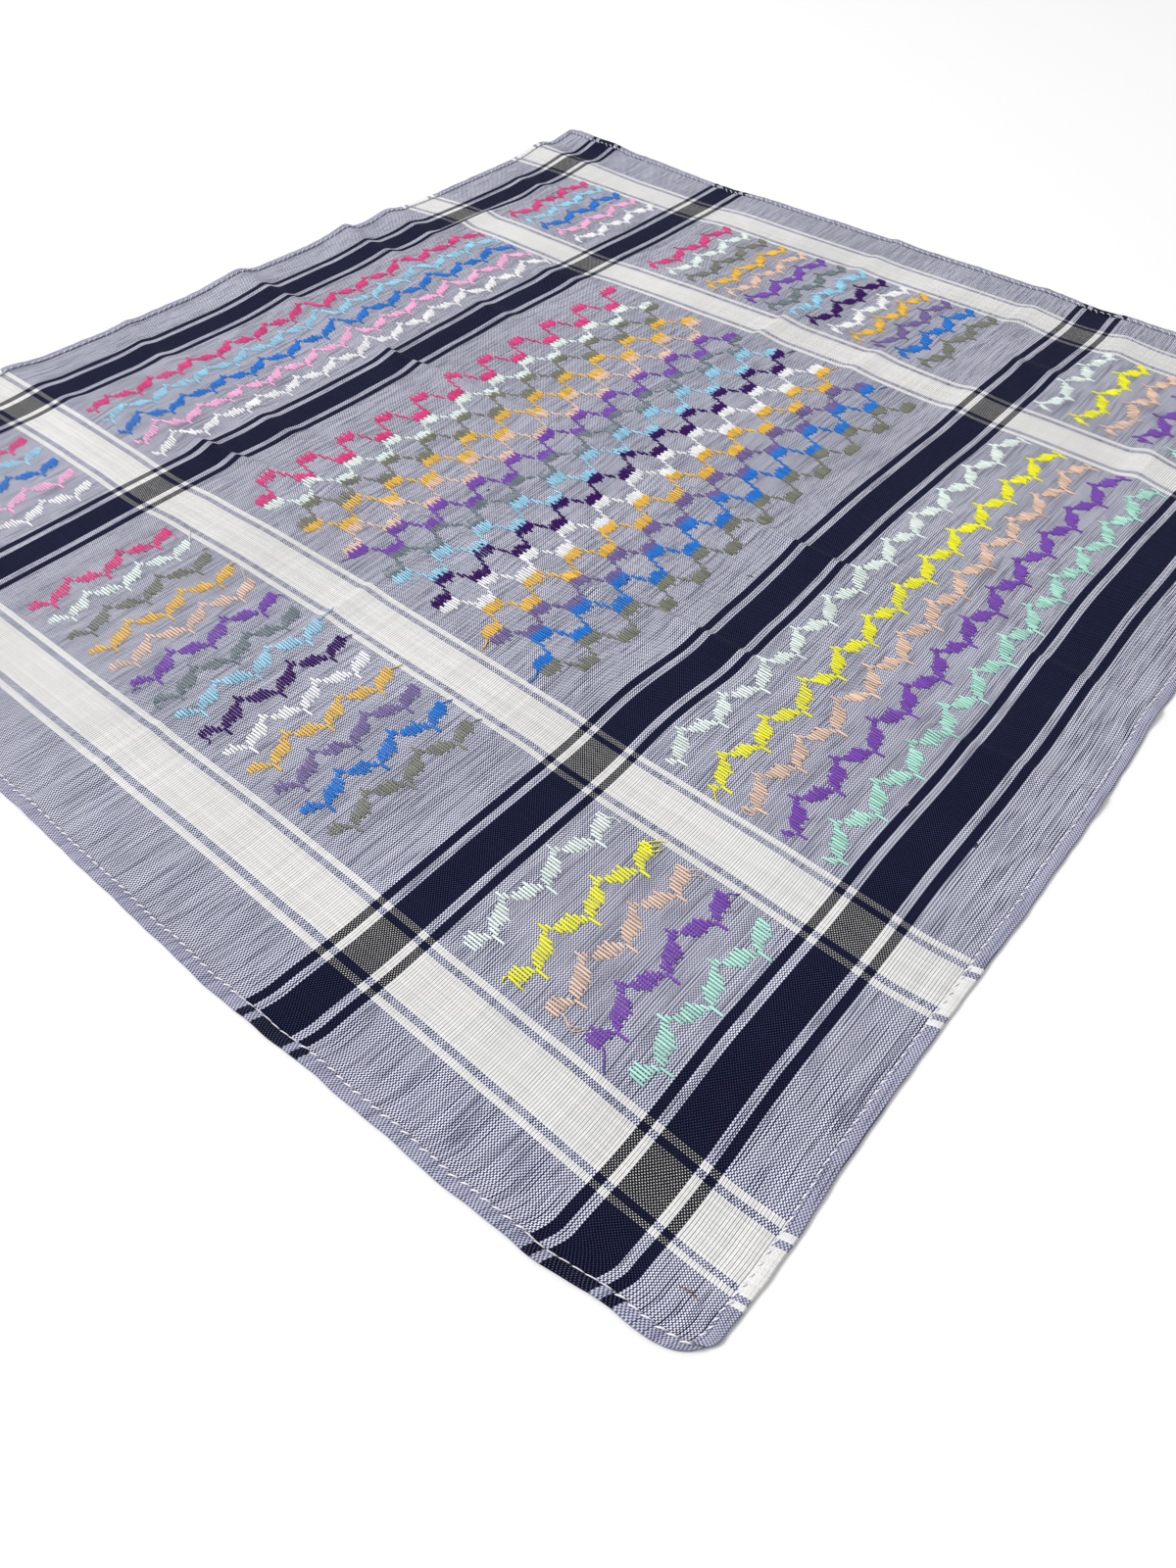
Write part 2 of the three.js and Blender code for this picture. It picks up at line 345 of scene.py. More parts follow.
# Columns: y, then the left edge, the four white stripes from left to right, and the right edge.
SLIDE_ALONG_X = Drift(
    lines=(CUT.left, *WHITE_BANDS, CUT.right),
    rows=(
        (-254, 7.0, -0.7, 0.0, -1.0, 0.6, -6.0),
        (-235, 6.0, -1.4, -1.2, -1.0, 0.8, -5.0),
        (-210, 2.4, -0.9, -0.5, -1.2, 1.0, -4.0),
        (-178, 1.0, 0.0, 0.3, -0.2, 1.2, -3.4),
        (-141, 0.3, 0.7, 0.7, 0.8, 1.9, -3.3),
        (-118, -1.0, 1.5, 1.0, 0.0, 0.4, -4.2),
        (-95, -1.8, 2.2, 2.3, 0.5, 1.2, -1.6),
        (-50, -1.1, 2.6, 3.1, 2.6, 2.2, 0.2),
        (0, -0.4, 2.1, 3.5, 2.6, 2.6, 1.0),
        (50, 0.0, 1.6, 3.3, 2.2, 2.8, 2.4),
        (90, 0.0, 1.3, 2.0, 1.0, 4.2, 3.6),
        (118, 0.0, 0.8, -0.3, -1.2, -0.4, 1.8),
        (150, 0.0, 0.5, 0.8, 0.5, 0.6, 3.4),
        (185, 0.0, 0.5, 1.3, 1.8, 1.5, 4.6),
        (220, 1.0, 0.2, 0.6, 0.8, 1.8, 6.0),
        (253, 2.5, 0.0, -0.5, -2.0, 1.0, 7.5),
    ),
)

# Columns: x, then the near edge, the four dark stripes from near to far, and the far edge.
SLIDE_ALONG_Y = Drift(
    lines=(CUT.near, *NAVY_BANDS, CUT.far),
    rows=(
        (-272, 0.8, 3.4, 2.8, 0.0, 0.0, 0.0),
        (-260, 0.2, 0.0, 0.6, 0.0, -0.3, 0.0),
        (-235, -0.5, -0.7, -0.5, -0.2, -0.6, 0.0),
        (-188, 0.6, 0.6, -0.2, 0.2, -1.2, 0.3),
        (-145, 0.3, 0.4, -0.6, 1.0, -1.8, 0.5),
        (-110, -0.3, 1.2, 1.0, 1.0, -1.0, 0.4),
        (-70, -0.3, 0.7, -1.2, -0.6, -1.6, -0.4),
        (-45, 0.0, 0.7, -0.4, -0.9, -1.4, 0.2),
        (0, 1.8, 1.9, 1.4, 0.0, -0.8, 0.3),
        (45, 1.4, 3.2, 2.3, 1.6, 0.2, 0.0),
        (85, 0.6, 2.6, 1.8, 1.2, 0.0, 0.4),
        (118, 0.0, 1.4, 0.8, 0.8, -1.2, 0.0),
        (155, -0.4, 0.6, 1.0, 1.0, -1.6, -1.6),
        (190, 0.0, 0.4, 0.8, 0.0, -1.4, -0.4),
        (235, -0.6, 0.0, -0.3, 0.8, 0.2, 1.0),
        (273, -1.0, 1.5, 1.6, 2.4, 2.0, 0.6),
    ),
)


@dataclass
class LaidCloth:
    """Where each point of the flat cut lies: drifted, rounded at the corners and lifted by the folds."""

    cut: Cut = CUT
    map_step: float = 0.5
    soften: int = 4
    ripple_height: float = 0.10
    ripple_lengths: tuple[int, ...] = (60, 47, 38, 31, 26, 21, 17, 14, 12)
    ripple_fade: float = 1.7
    ripple_range: float = 4
    edge_wave: float = 0.15
    edge_wave_scales: tuple[float, float, float] = (5.4, 31, 2.07)
    edge_wave_shifts: tuple[float, float] = (0.6, 2.1)
    edge_reach: float = 20.0
    border_points: int = 400
    seed: int = 7
    relief: Array = field(init=False)
    offset: Array = field(init=False)

    def __post_init__(self) -> None:
        """Draws the height map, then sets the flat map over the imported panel's box."""
        self.relief = self.draw_relief()
        self.offset = np.zeros(2)
        low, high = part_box("cloth_panel")
        border = self.place(*self.border())
        middle = (border.min(axis=0) + border.max(axis=0)) / 2
        self.offset = np.array([(low[k] + high[k]) / 2 - middle[k] for k in range(2)])

    def border(self) -> tuple[Array, Array]:
        """Flat points round the cut's edge."""
        x = np.linspace(self.cut.left, self.cut.right, self.border_points)
        y = np.linspace(self.cut.near, self.cut.far, self.border_points)
        across = np.concatenate([x, x, np.full_like(y, self.cut.left), np.full_like(y, self.cut.right)])
        along = np.concatenate([np.full_like(x, self.cut.near), np.full_like(x, self.cut.far), y, y])
        return across, along

    def draw_relief(self) -> Array:
        """The height of the underside over the flat cut, one value for each step of the map.

        Returns:
            The root of the folds' summed squares, softened by a small binomial filter so that no crest is
            sharp, with faint ripples: long sine waves in several directions, their heights multiplied by
            a slow wave of their own.
        """
        x = np.arange(self.cut.left, self.cut.right + self.map_step, self.map_step)
        y = np.arange(self.cut.near, self.cut.far + self.map_step, self.map_step)
        flat_y, flat_x = np.meshgrid(y, x, indexing="ij")
        folds = [*MAIN_FOLDS.values(), *SMALL_FOLDS.values()]
        height = np.sqrt(sum(one.height(flat_x, flat_y) ** 2 for one in folds))
        for _ in range(self.soften):
            for axis in (0, 1):
                padded = np.pad(height, [(1, 1) if k == axis else (0, 0) for k in (0, 1)], mode="edge")
                first, middle, last = (
                    np.take(padded, np.arange(start, start + height.shape[axis]), axis=axis)
                    for start in (0, 1, 2)
                )
                height = (first + 2 * middle + last) / 4
        return height + self.ripples(flat_x, flat_y)

    def ripples(self, x: Array, y: Array) -> Array:
        """Faint unevenness all over, never below the floor.

        Args:
            x: Flat places.
            y: Flat places.

        Returns:
            The sum of several sine waves, the shorter ones lower, each fading in and out over the cloth.
        """
        rng = np.random.default_rng(self.seed)
        total = np.zeros_like(x)
        longest = self.ripple_lengths[0]
        for length in self.ripple_lengths:
            turn, phase, slow_phase = rng.uniform(0, 2 * math.pi, 3)
            along = x * math.cos(turn) + y * math.sin(turn)
            across = y * math.cos(turn) - x * math.sin(turn)
            fading = 0.5 + 0.5 * np.sin(across / (self.ripple_fade * length) + slow_phase)
            total += np.sin(2 * math.pi * along / length + phase) * fading * (length / longest) ** 0.5
        return self.ripple_height * (total - total.min()) / self.ripple_range

    def lift(self, x: Array, y: Array) -> Array:
        """The height of the underside at flat places, read between the map's four nearest steps."""
        column = np.clip((x - self.cut.left) / self.map_step, 0, self.relief.shape[1] - 1.001)
        row = np.clip((y - self.cut.near) / self.map_step, 0, self.relief.shape[0] - 1.001)
        left, low = column.astype(int), row.astype(int)
        right_part, high_part = column - left, row - low
        near = self.relief[low, left] * (1 - right_part) + self.relief[low, left + 1] * right_part
        far = self.relief[low + 1, left] * (1 - right_part) + self.relief[low + 1, left + 1] * right_part
        return near * (1 - high_part) + far * high_part

    def round_corners(self, x: Array, y: Array) -> tuple[Array, Array]:
        """Draws the square over each corner in to a quarter disc, by the square to disc formula."""
        radius = self.cut.corner_radius
        inner_x = np.clip(x, self.cut.left + radius, self.cut.right - radius)
        inner_y = np.clip(y, self.cut.near + radius, self.cut.far - radius)
        out_x, out_y = (x - inner_x) / radius, (y - inner_y) / radius
        return (
            inner_x + radius * out_x * np.sqrt(1 - out_y**2 / 2),
            inner_y + radius * out_y * np.sqrt(1 - out_x**2 / 2),
        )

    def edge_waves(self, x: Array, y: Array) -> tuple[Array, Array]:
        """Small sideways waves of the edges, fading inwards.

        Args:
            x: Flat places.
            y: Flat places.

        Returns:
            The shifts along X and along Y: two sine waves of uneven length down each edge.
        """

        def fading(place: Array, low: float, high: float) -> Array:
            """1 on either edge and 0 from the waves' reach inside it."""
            inward = np.minimum(place - low, high - place)
            return ease(np.clip(1 - inward / self.edge_reach, 0, 1))

        def wave(place: Array, shift: float) -> Array:
            """A sine wave of 34 mm that fades in and out, and half of one of 13 mm."""
            return np.sin(place / long + shift) * np.sin(place / slow + shift) + 0.5 * np.sin(place / short)

        long, slow, short = self.edge_wave_scales
        for_x, for_y = self.edge_wave_shifts
        over_x = self.edge_wave * wave(y, for_x) * fading(x, self.cut.left, self.cut.right)
        over_y = self.edge_wave * wave(x, for_y) * fading(y, self.cut.near, self.cut.far)
        return over_x, over_y

    def place(self, x: Array, y: Array, raised: Union[float, Array] = 0.0) -> Array:
        """Where flat points lie.

        Args:
            x: Flat places, in millimetres.
            y: Flat places, in millimetres.
            raised: Heights over the underside, in millimetres.

        Returns:
            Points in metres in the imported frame: corners rounded, drifts and edge waves added, and the
            fold's height under them.
        """
        round_x, round_y = self.round_corners(x, y)
        wave_x, wave_y = self.edge_waves(x, y)
        laid_x = round_x + SLIDE_ALONG_X.at(y, x) + wave_x
        laid_y = round_y + SLIDE_ALONG_Y.at(x, y) + wave_y
        points = np.stack([laid_x, laid_y, self.lift(x, y) + raised], axis=-1) * MM
        points[..., :2] += self.offset
        return points


def feed(tree: bpy.types.NodeTree, value: Operand, socket: bpy.types.NodeSocket) -> None:
    """Joins a signal to a node's input, or writes a plain number there."""
    if isinstance(value, Signal):
        tree.links.new(value.socket, socket)
    else:
        socket.default_value = value


class Signal:
    """A number or colour that flows through one material's nodes, with plain arithmetic."""

    def __init__(self, tree: bpy.types.NodeTree, socket: bpy.types.NodeSocket) -> None:
        """Holds the tree and the socket that gives the number."""
        self.tree = tree
        self.socket = socket

    def math(self, operation: str, *others: Operand) -> Signal:
        """One math node.

        Args:
            operation: The node's operation.
            others: Its second input, if it has one.

        Returns:
            The node's result.
        """
        node = self.tree.nodes.new("ShaderNodeMath")
        node.operation = operation
        for place, value in enumerate((self, *others)):
            feed(self.tree, value, node.inputs[place])
        return Signal(self.tree, node.outputs[0])

    def __add__(self, other: Operand) -> Signal:
        """Sum."""
        return self.math("ADD", other)

    def __sub__(self, other: Operand) -> Signal:
        """Difference."""
        return self.math("SUBTRACT", other)

    def __rsub__(self, other: float) -> Signal:
        """A plain number less this one."""
        return self.math("MULTIPLY", -1.0) + other

    def __mul__(self, other: Operand) -> Signal:
        """Product."""
        return self.math("MULTIPLY", other)

    def __truediv__(self, other: Operand) -> Signal:
        """Quotient."""
        return self.math("DIVIDE", other)

    def __abs__(self) -> Signal:
        """Size without its sign."""
        return self.math("ABSOLUTE")

    def floor(self) -> Signal:
        """The whole number below."""
        return self.math("FLOOR")

    def fraction(self) -> Signal:
        """What is left over the whole number below."""
        return self.math("FRACT")

    def less(self, limit: Operand) -> Signal:
        """1 where it is less than the limit, else 0."""
        return self.math("LESS_THAN", limit)

    def greater(self, limit: Operand) -> Signal:
        """1 where it is greater than the limit, else 0."""
        return self.math("GREATER_THAN", limit)

    def least(self, other: Operand) -> Signal:
        """The smaller of the two."""
        return self.math("MINIMUM", other)

    def most(self, other: Operand) -> Signal:
        """The larger of the two."""
        return self.math("MAXIMUM", other)

    def smooth(self, low: Operand, high: Operand, to_low: Operand = 0.0, to_high: Operand = 1.0) -> Signal:
        """A smooth step between two limits.

        Args:
            low: Where the step starts.
            high: Where it ends.
            to_low: Its value up to the start.
            to_high: Its value from the end.

        Returns:
            The eased value.
        """
        node = self.tree.nodes.new("ShaderNodeMapRange")
        node.interpolation_type = "SMOOTHSTEP"
        for place, value in enumerate((self, low, high, to_low, to_high)):
            feed(self.tree, value, node.inputs[place])
        return Signal(self.tree, node.outputs["Result"])

    def blend(self, low: Union[Colour, Signal], high: Union[Colour, Signal]) -> Signal:
        """Mixes two colours by this signal.

        Args:
            low: The colour at 0.
            high: The colour at 1.

        Returns:
            The mixed colour.
        """
        node = self.tree.nodes.new("ShaderNodeMix")
        node.data_type = "RGBA"
        feed(self.tree, self, node.inputs["Factor"])
        for value, name in ((low, "A"), (high, "B")):
            socket = next(one for one in node.inputs if one.name == name and one.type == "RGBA")
            feed(self.tree, value if isinstance(value, Signal) else (*value, 1.0), socket)
        return Signal(self.tree, next(one for one in node.outputs if one.type == "RGBA"))

    def tint(self, strength: Operand) -> Signal:
        """This colour multiplied by a number."""
        node = self.tree.nodes.new("ShaderNodeVectorMath")
        node.operation = "SCALE"
        feed(self.tree, self, node.inputs[0])
        feed(self.tree, strength, node.inputs["Scale"])
        return Signal(self.tree, node.outputs[0])


Operand = Union[float, Signal]


class Sketch:
    """One new material: its node tree, its shader and the signals that start its patterns."""

    def __init__(self, name: str) -> None:
        """Makes the material with a plain shader.

        Args:
            name: The material's name.
        """
        self.material = bpy.data.materials.new(name)
        self.material.use_nodes = True
        self.tree = self.material.node_tree
        self.shader = self.tree.nodes["Principled BSDF"]

    def flat_place(self, layer: str) -> tuple[Signal, Signal]:
        """The two coordinates of a UV map, in metres."""
        uv = self.tree.nodes.new("ShaderNodeUVMap")
        uv.uv_map = layer
        parts = self.tree.nodes.new("ShaderNodeSeparateXYZ")
        self.tree.links.new(uv.outputs["UV"], parts.inputs[0])
        return Signal(self.tree, parts.outputs["X"]), Signal(self.tree, parts.outputs["Y"])

    def noise(self, x: Operand, y: Operand, scale: float = 1.0, detail: float = 1.0) -> Signal:
        """Smooth noise over two signals.

        Args:
            x: First place.
            y: Second place.
            scale: Bumps for each unit.
            detail: Finer layers.

        Returns:
            A value near 0.5, mostly from 0.25 to 0.75.
        """
        joined = self.tree.nodes.new("ShaderNodeCombineXYZ")
        feed(self.tree, x, joined.inputs["X"])
        feed(self.tree, y, joined.inputs["Y"])
        node = self.tree.nodes.new("ShaderNodeTexNoise")
        node.noise_dimensions = "2D"
        node.inputs["Scale"].default_value = scale
        node.inputs["Detail"].default_value = detail
        self.tree.links.new(joined.outputs[0], node.inputs["Vector"])
        return Signal(self.tree, node.outputs[0])

    def attribute(self, name: str) -> Signal:
        """A number stored at the mesh's points."""
        node = self.tree.nodes.new("ShaderNodeAttribute")
        node.attribute_name = name
        return Signal(self.tree, node.outputs["Fac"])

    def lot(self, number: Signal, shift: float) -> Signal:
        """A fixed draw from 0 to 1 for each whole number."""
        node = self.tree.nodes.new("ShaderNodeTexWhiteNoise")
        node.noise_dimensions = "1D"
        self.tree.links.new((number + shift).socket, node.inputs["W"])
        return Signal(self.tree, node.outputs["Value"])

    def paint(self, colour: Union[Colour, Signal]) -> None:
        """Sets the base colour."""
        socket = self.shader.inputs["Base Color"]
        feed(self.tree, colour if isinstance(colour, Signal) else (*colour, 1.0), socket)

    def relief(self, height: Signal, depth: float) -> None:
        """Bumps the surface by a height from 0 to 1, in metres of depth."""
        bump = self.tree.nodes.new("ShaderNodeBump")
        bump.inputs["Strength"].default_value = 1.0
        bump.inputs["Distance"].default_value = depth
        self.tree.links.new(height.socket, bump.inputs["Height"])
        self.tree.links.new(bump.outputs["Normal"], self.shader.inputs["Normal"])

    def surface(self, roughness: float, sheen: float, gloss: float) -> None:
        """Sets how matt the surface is, its fibre sheen and its gloss."""
        self.shader.inputs["Roughness"].default_value = roughness
        self.shader.inputs["Sheen Weight"].default_value = sheen
        self.shader.inputs["Specular IOR Level"].default_value = gloss


@dataclass(frozen=True)
class StripeSet:
    """Two mirrored pairs of stripes: a wide band between two thin ones, counted in yarns."""

    inner: float
    outer: float
    half_wide: int
    gap: int
    thin: int

    def mask(self, number: Signal, pitch: float) -> Signal:
        """1 on yarns of the stripes' own colour.

        Args:
            number: The yarn's whole number, counted from the middle.
            pitch: Millimetres from yarn to yarn.

        Returns:
            The mask, from the distance to the nearer stripe's centre yarn.
        """
        out = abs(number + 0.5)
        away = abs(out - self.outer / pitch).least(abs(out - self.inner / pitch))
        thin_start = self.half_wide + self.gap
        thin = away.greater(thin_start) * away.less(thin_start + self.thin)
        return away.less(self.half_wide).most(thin)


@dataclass(frozen=True)
class WovenCotton:
    """The cloth: a plain weave of blue and white yarns, striped white one way and navy the other."""

    name: str = "woven_cotton"
    pitch_across: float = 0.552
    pitch_along: float = 0.4717
    white_bands: StripeSet = StripeSet(*WHITE_BANDS[2:], half_wide=14, gap=4, thin=4)
    navy_bands: StripeSet = StripeSet(*NAVY_BANDS[2:], half_wide=13, gap=6, thin=6)
    white: Colour = linear(243, 242, 241)
    lilac_white: Colour = linear(244, 244, 252)
    blue: Colour = linear(66, 72, 124)
    navy: Colour = linear(11, 12, 24)
    wander: float = 0.5
    wander_scales: tuple[float, float] = (16, 13)
    slubs_per_metre: float = 60
    upright_tone: float = 0.86
    upright_lots: float = 0.22
    upright_unevenness: float = 0.35
    lying_tone: float = 0.885
    lying_lots: float = 0.14
    lying_unevenness: float = 0.22
    drift: float = 0.34
    drift_lost_on_white: float = 0.24
    drift_scales: tuple[float, float] = (45, 820)
    oval: tuple[float, float] = (0.85, 1.5)
    navy_oval: tuple[float, float] = (0.23, 0.36)
    half_gap: float = 0.02
    gap_spread: float = 0.05
    pair_gap: float = 0.18
    streaks_per_metre: float = 45
    streak_limits: tuple[float, float] = (0.56, 0.66)
    streak_lift: float = 0.02
    streak_gap: float = 0.15
    gap_lost_on_navy: float = 0.75
    gap_shade: float = 0.30
    gap_depth: float = 0.7
    swell_spread: float = 3.7
    upright_seed: float = 0.3
    lying_seed: float = 7.7
    gap_seed: float = 3.1
    # Painted shade and painted light from each yarn's roundness: its sides darker, its top lighter.
    side_shade: float = 0.72
    top_light: float = 0.34
    patchiness: float = 0.24
    patches_per_metre: float = 17
    block_reach: tuple[float, float] = (0.226, 0.208)
    relief_depth: float = 0.00003
    # Painted shade on a hem's rolled edge, darker low down towards the floor, by the crown attribute; a rim
    # shade of 1 gives none.
    rim_limits: tuple[float, float] = (0.3, 1.0)
    rim_shade: float = 1.0

    def dress(self) -> bpy.types.Material:
        """Builds the material.

        Returns:
            A material that reads the flat UV map, in metres. Each cell of the weave shows the yarn that
            lies on top, the two taking turns like the squares of a checkerboard, with painted shade towards
            each yarn's sides. The yarns that run along X lie in pairs with a fine gap after every second
            one, and here and there a gap opens further, which gives the cloth its long thin streaks. A gap
            shows the upright yarn under it in painted shade, so it draws a dark line.
        """
        sketch = Sketch(self.name)
        u, v = sketch.flat_place("flat")
        wander_x, wander_y = (
            (sketch.noise(*places, scale=scale) - 0.5) * self.wander
            for places, scale in zip(((u, v), (v, u)), self.wander_scales)
        )
        x = u / (self.pitch_across * MM) + wander_x
        y = v / (self.pitch_along * MM) + wander_y
        column, row = x.floor(), y.floor()
        a = x.fraction() * 2 - 1
        b = y.fraction() * 2 - 1
        upright_over = ((column + row) * 0.5).fraction().less(0.25)

        white_upright = self.white_bands.mask(column, self.pitch_across)
        navy_lying = self.navy_bands.mask(row, self.pitch_along)
        upright_lot = sketch.lot(column, self.upright_seed) * self.upright_lots
        upright_slubs = sketch.noise(column, v * self.slubs_per_metre)
        upright_uneven = (upright_slubs - 0.5) * self.upright_unevenness
        upright_tone = upright_lot + self.upright_tone + upright_uneven
        lying_lot = sketch.lot(row, self.lying_seed) * self.lying_lots
        lying_uneven = (sketch.noise(u * self.slubs_per_metre, row) - 0.5) * self.lying_unevenness
        drift_here = self.drift - white_upright * self.drift_lost_on_white
        drift = (sketch.noise(u * self.drift_scales[0], v * self.drift_scales[1]) - 0.5) * drift_here
        lying_tone = lying_lot + lying_uneven + drift + self.lying_tone
        upright = white_upright.blend(self.blue, self.white).tint(upright_tone)
        lying_plain = white_upright.blend(self.lilac_white, self.white)
        lying = navy_lying.blend(lying_plain, self.navy).tint(lying_tone)

        # An upright yarn shows as an oval, and only as a small dot between the fat navy yarns.
        wide = navy_lying * (self.navy_oval[0] - self.oval[0]) + self.oval[0]
        tall = navy_lying * (self.navy_oval[1] - self.oval[1]) + self.oval[1]
        oval = ((a * a) / wide + (b * b) / tall).less(1.0)
        top_is_upright = upright_over * oval

        # Gaps between lying yarns: each has a width that swells and shrinks along it. A gap shows the
        # upright yarn under it in painted shade, dark on the blue ground and grey in the white bands.
        gap_number = (y + 0.5).floor()
        from_gap = abs(y - gap_number)
        in_block = abs(u).less(self.block_reach[0]) * abs(v).less(self.block_reach[1])
        swell = sketch.noise(u * self.streaks_per_metre, gap_number * self.swell_spread)
        lifted = swell + in_block * self.streak_lift + self.streak_lift
        streak = lifted.smooth(*self.streak_limits) * (1 - white_upright)
        after_pair = (gap_number * 0.5).fraction().less(0.25) * self.pair_gap
        gap_lot = sketch.lot(gap_number, self.gap_seed) * self.gap_spread
        half_gap = streak * self.streak_gap + gap_lot + self.half_gap + after_pair
        gap = from_gap.less(half_gap) * (1 - navy_lying * self.gap_lost_on_navy)

        shown = top_is_upright.blend(lying, upright)
        mixed = gap.blend(shown, upright.tint(self.gap_shade))
        round_lying = 1 - b * b
        round_upright = 1 - a * a
        height = top_is_upright.smooth(0, 1, round_lying, round_upright) * (1 - gap * self.gap_depth)
        # Painted shade: each yarn darker towards its sides and in the gaps, lighter on its top.
        round_yarn_shade = height.math("POWER", 0.5) * self.top_light + self.side_shade
        patchy = sketch.noise(u, v, scale=self.patches_per_metre, detail=2)
        patches = patchy * self.patchiness + (1 - self.patchiness / 2)
        # Painted shade on the hems' rolled edges: darker where the crown is low, towards the floor. The
        # panel's crown is 1 everywhere, so it gets none.
        rim = sketch.attribute("crown").smooth(*self.rim_limits, self.rim_shade, 1.0)
        sketch.paint(mixed.tint(round_yarn_shade * patches * rim))
        sketch.relief(height, self.relief_depth)
        sketch.surface(roughness=0.95, sheen=0.02, gloss=0.06)
        return sketch.material


@dataclass(frozen=True)
class TurnedCotton(WovenCotton):
    """The hem's cloth: the reverse of the same weave over two more layers, so a little fuller in colour."""

    name: str = "turned_cotton"
    blue: Colour = linear(90, 94, 134)
    lilac_white: Colour = linear(208, 208, 222)
    pair_gap: float = 0.06
    gap_shade: float = 0.60
    # Painted shade low on the rolled edge.
    rim_shade: float = 0.35


@dataclass(frozen=True)
class ThreadFinish:
    """A soft cotton thread of one colour."""

    name: str
    colour: Colour
    fullness: float = 1.0
    hollow_shade: float = 0.14
    crown_limits: tuple[float, float] = (-0.15, 0.85)
    sheen: float = 0.03
    twist: float = 0.0009
    twist_slope: float = 0.6
    base_tone: float = 0.84
    fibre_tone: float = 0.12
    uneven_tone: float = 0.30
    uneven_per_metre: float = 900
    fibre_relief: float = 0.6
    relief_depth: float = 0.00006

    def dress(self) -> bpy.types.Material:
        """Builds the material.

        Returns:
            A material that reads the thread's own UV map, in metres: across it and along it. Slanting
            fibres, drawn as a wave over both coordinates, shade and bump the thread.
        """
        sketch = Sketch(self.name)
        across, along = sketch.flat_place("thread")
        slant = along / self.twist + across / (self.twist * self.twist_slope)
        fibres = (slant * (2 * math.pi)).math("SINE") * 0.5 + 0.5
        uneven = sketch.noise(across, along, scale=self.uneven_per_metre, detail=3)
        # Painted shade: the colour darkens towards the thread's sides and into the dip between its strands.
        shaded_hollow = tuple(part * self.hollow_shade for part in self.colour)
        lit = sketch.attribute("crown").smooth(*self.crown_limits).blend(shaded_hollow, self.colour)
        sketch.paint(lit.tint(fibres * self.fibre_tone + uneven * self.uneven_tone + self.base_tone))
        sketch.relief(fibres * self.fibre_relief + uneven, self.relief_depth)
        sketch.surface(roughness=0.75, sheen=self.sheen, gloss=0.12)
        return sketch.material


class Thread(Enum):
    """The threads of the brocade, the sewing and the few stray flecks."""

    CRIMSON = ThreadFinish("crimson_thread", linear(240, 76, 145), fullness=1.08)
    LIGHT_BLUE = ThreadFinish("light_blue_thread", linear(170, 228, 255))
    BLUE = ThreadFinish("blue_thread", linear(42, 126, 220), fullness=1.15, hollow_shade=0.35)
    PINK = ThreadFinish("pink_thread", linear(255, 188, 228), fullness=1.12, hollow_shade=0.42)
    WHITE = ThreadFinish("white_thread", linear(254, 254, 255), hollow_shade=0.45)
    MINT = ThreadFinish("pale_mint_thread", linear(243, 255, 249), hollow_shade=0.35)
    OLIVE = ThreadFinish("olive_grey_thread", linear(136, 138, 122), fullness=1.05)
    MUSTARD = ThreadFinish("mustard_thread", linear(255, 203, 83))
    PEACH = ThreadFinish("peach_thread", linear(247, 213, 190))
    PURPLE = ThreadFinish("purple_thread", linear(131, 83, 186), fullness=1.15, hollow_shade=0.35)
    SLATE = ThreadFinish("slate_thread", linear(126, 140, 146), fullness=1.05)
    DARK_PURPLE = ThreadFinish("dark_purple_thread", linear(58, 10, 100), fullness=1.1)
    VIOLET = ThreadFinish("muted_violet_thread", linear(128, 110, 168), fullness=1.05)
    YELLOW = ThreadFinish("yellow_thread", linear(255, 252, 56), hollow_shade=0.42)
    AQUA = ThreadFinish("aqua_thread", linear(188, 243, 227), fullness=1.05)
    SEWING = ThreadFinish("sewing_thread", linear(246, 244, 252), hollow_shade=0.6)
    BROWN = ThreadFinish("brown_fleck", linear(126, 84, 74))
    INK = ThreadFinish("dark_blue_fleck", linear(40, 44, 84))


Finishes = dict[Thread, bpy.types.Material]


def added(name: str, data: bpy.types.ID) -> bpy.types.Object:
    """Makes an object of its data and adds it to the scene."""
    made = bpy.data.objects.new(name, data)
    bpy.context.scene.collection.objects.link(made)
    return made


def aimed(place: Place, at: Place) -> Matrix:
    """The matrix of a camera or a lamp that stands at one place and looks at another."""
    turned = (Vector(at) - Vector(place)).to_track_quat("-Z", "Y").to_matrix().to_4x4()
    return Matrix.Translation(place) @ turned


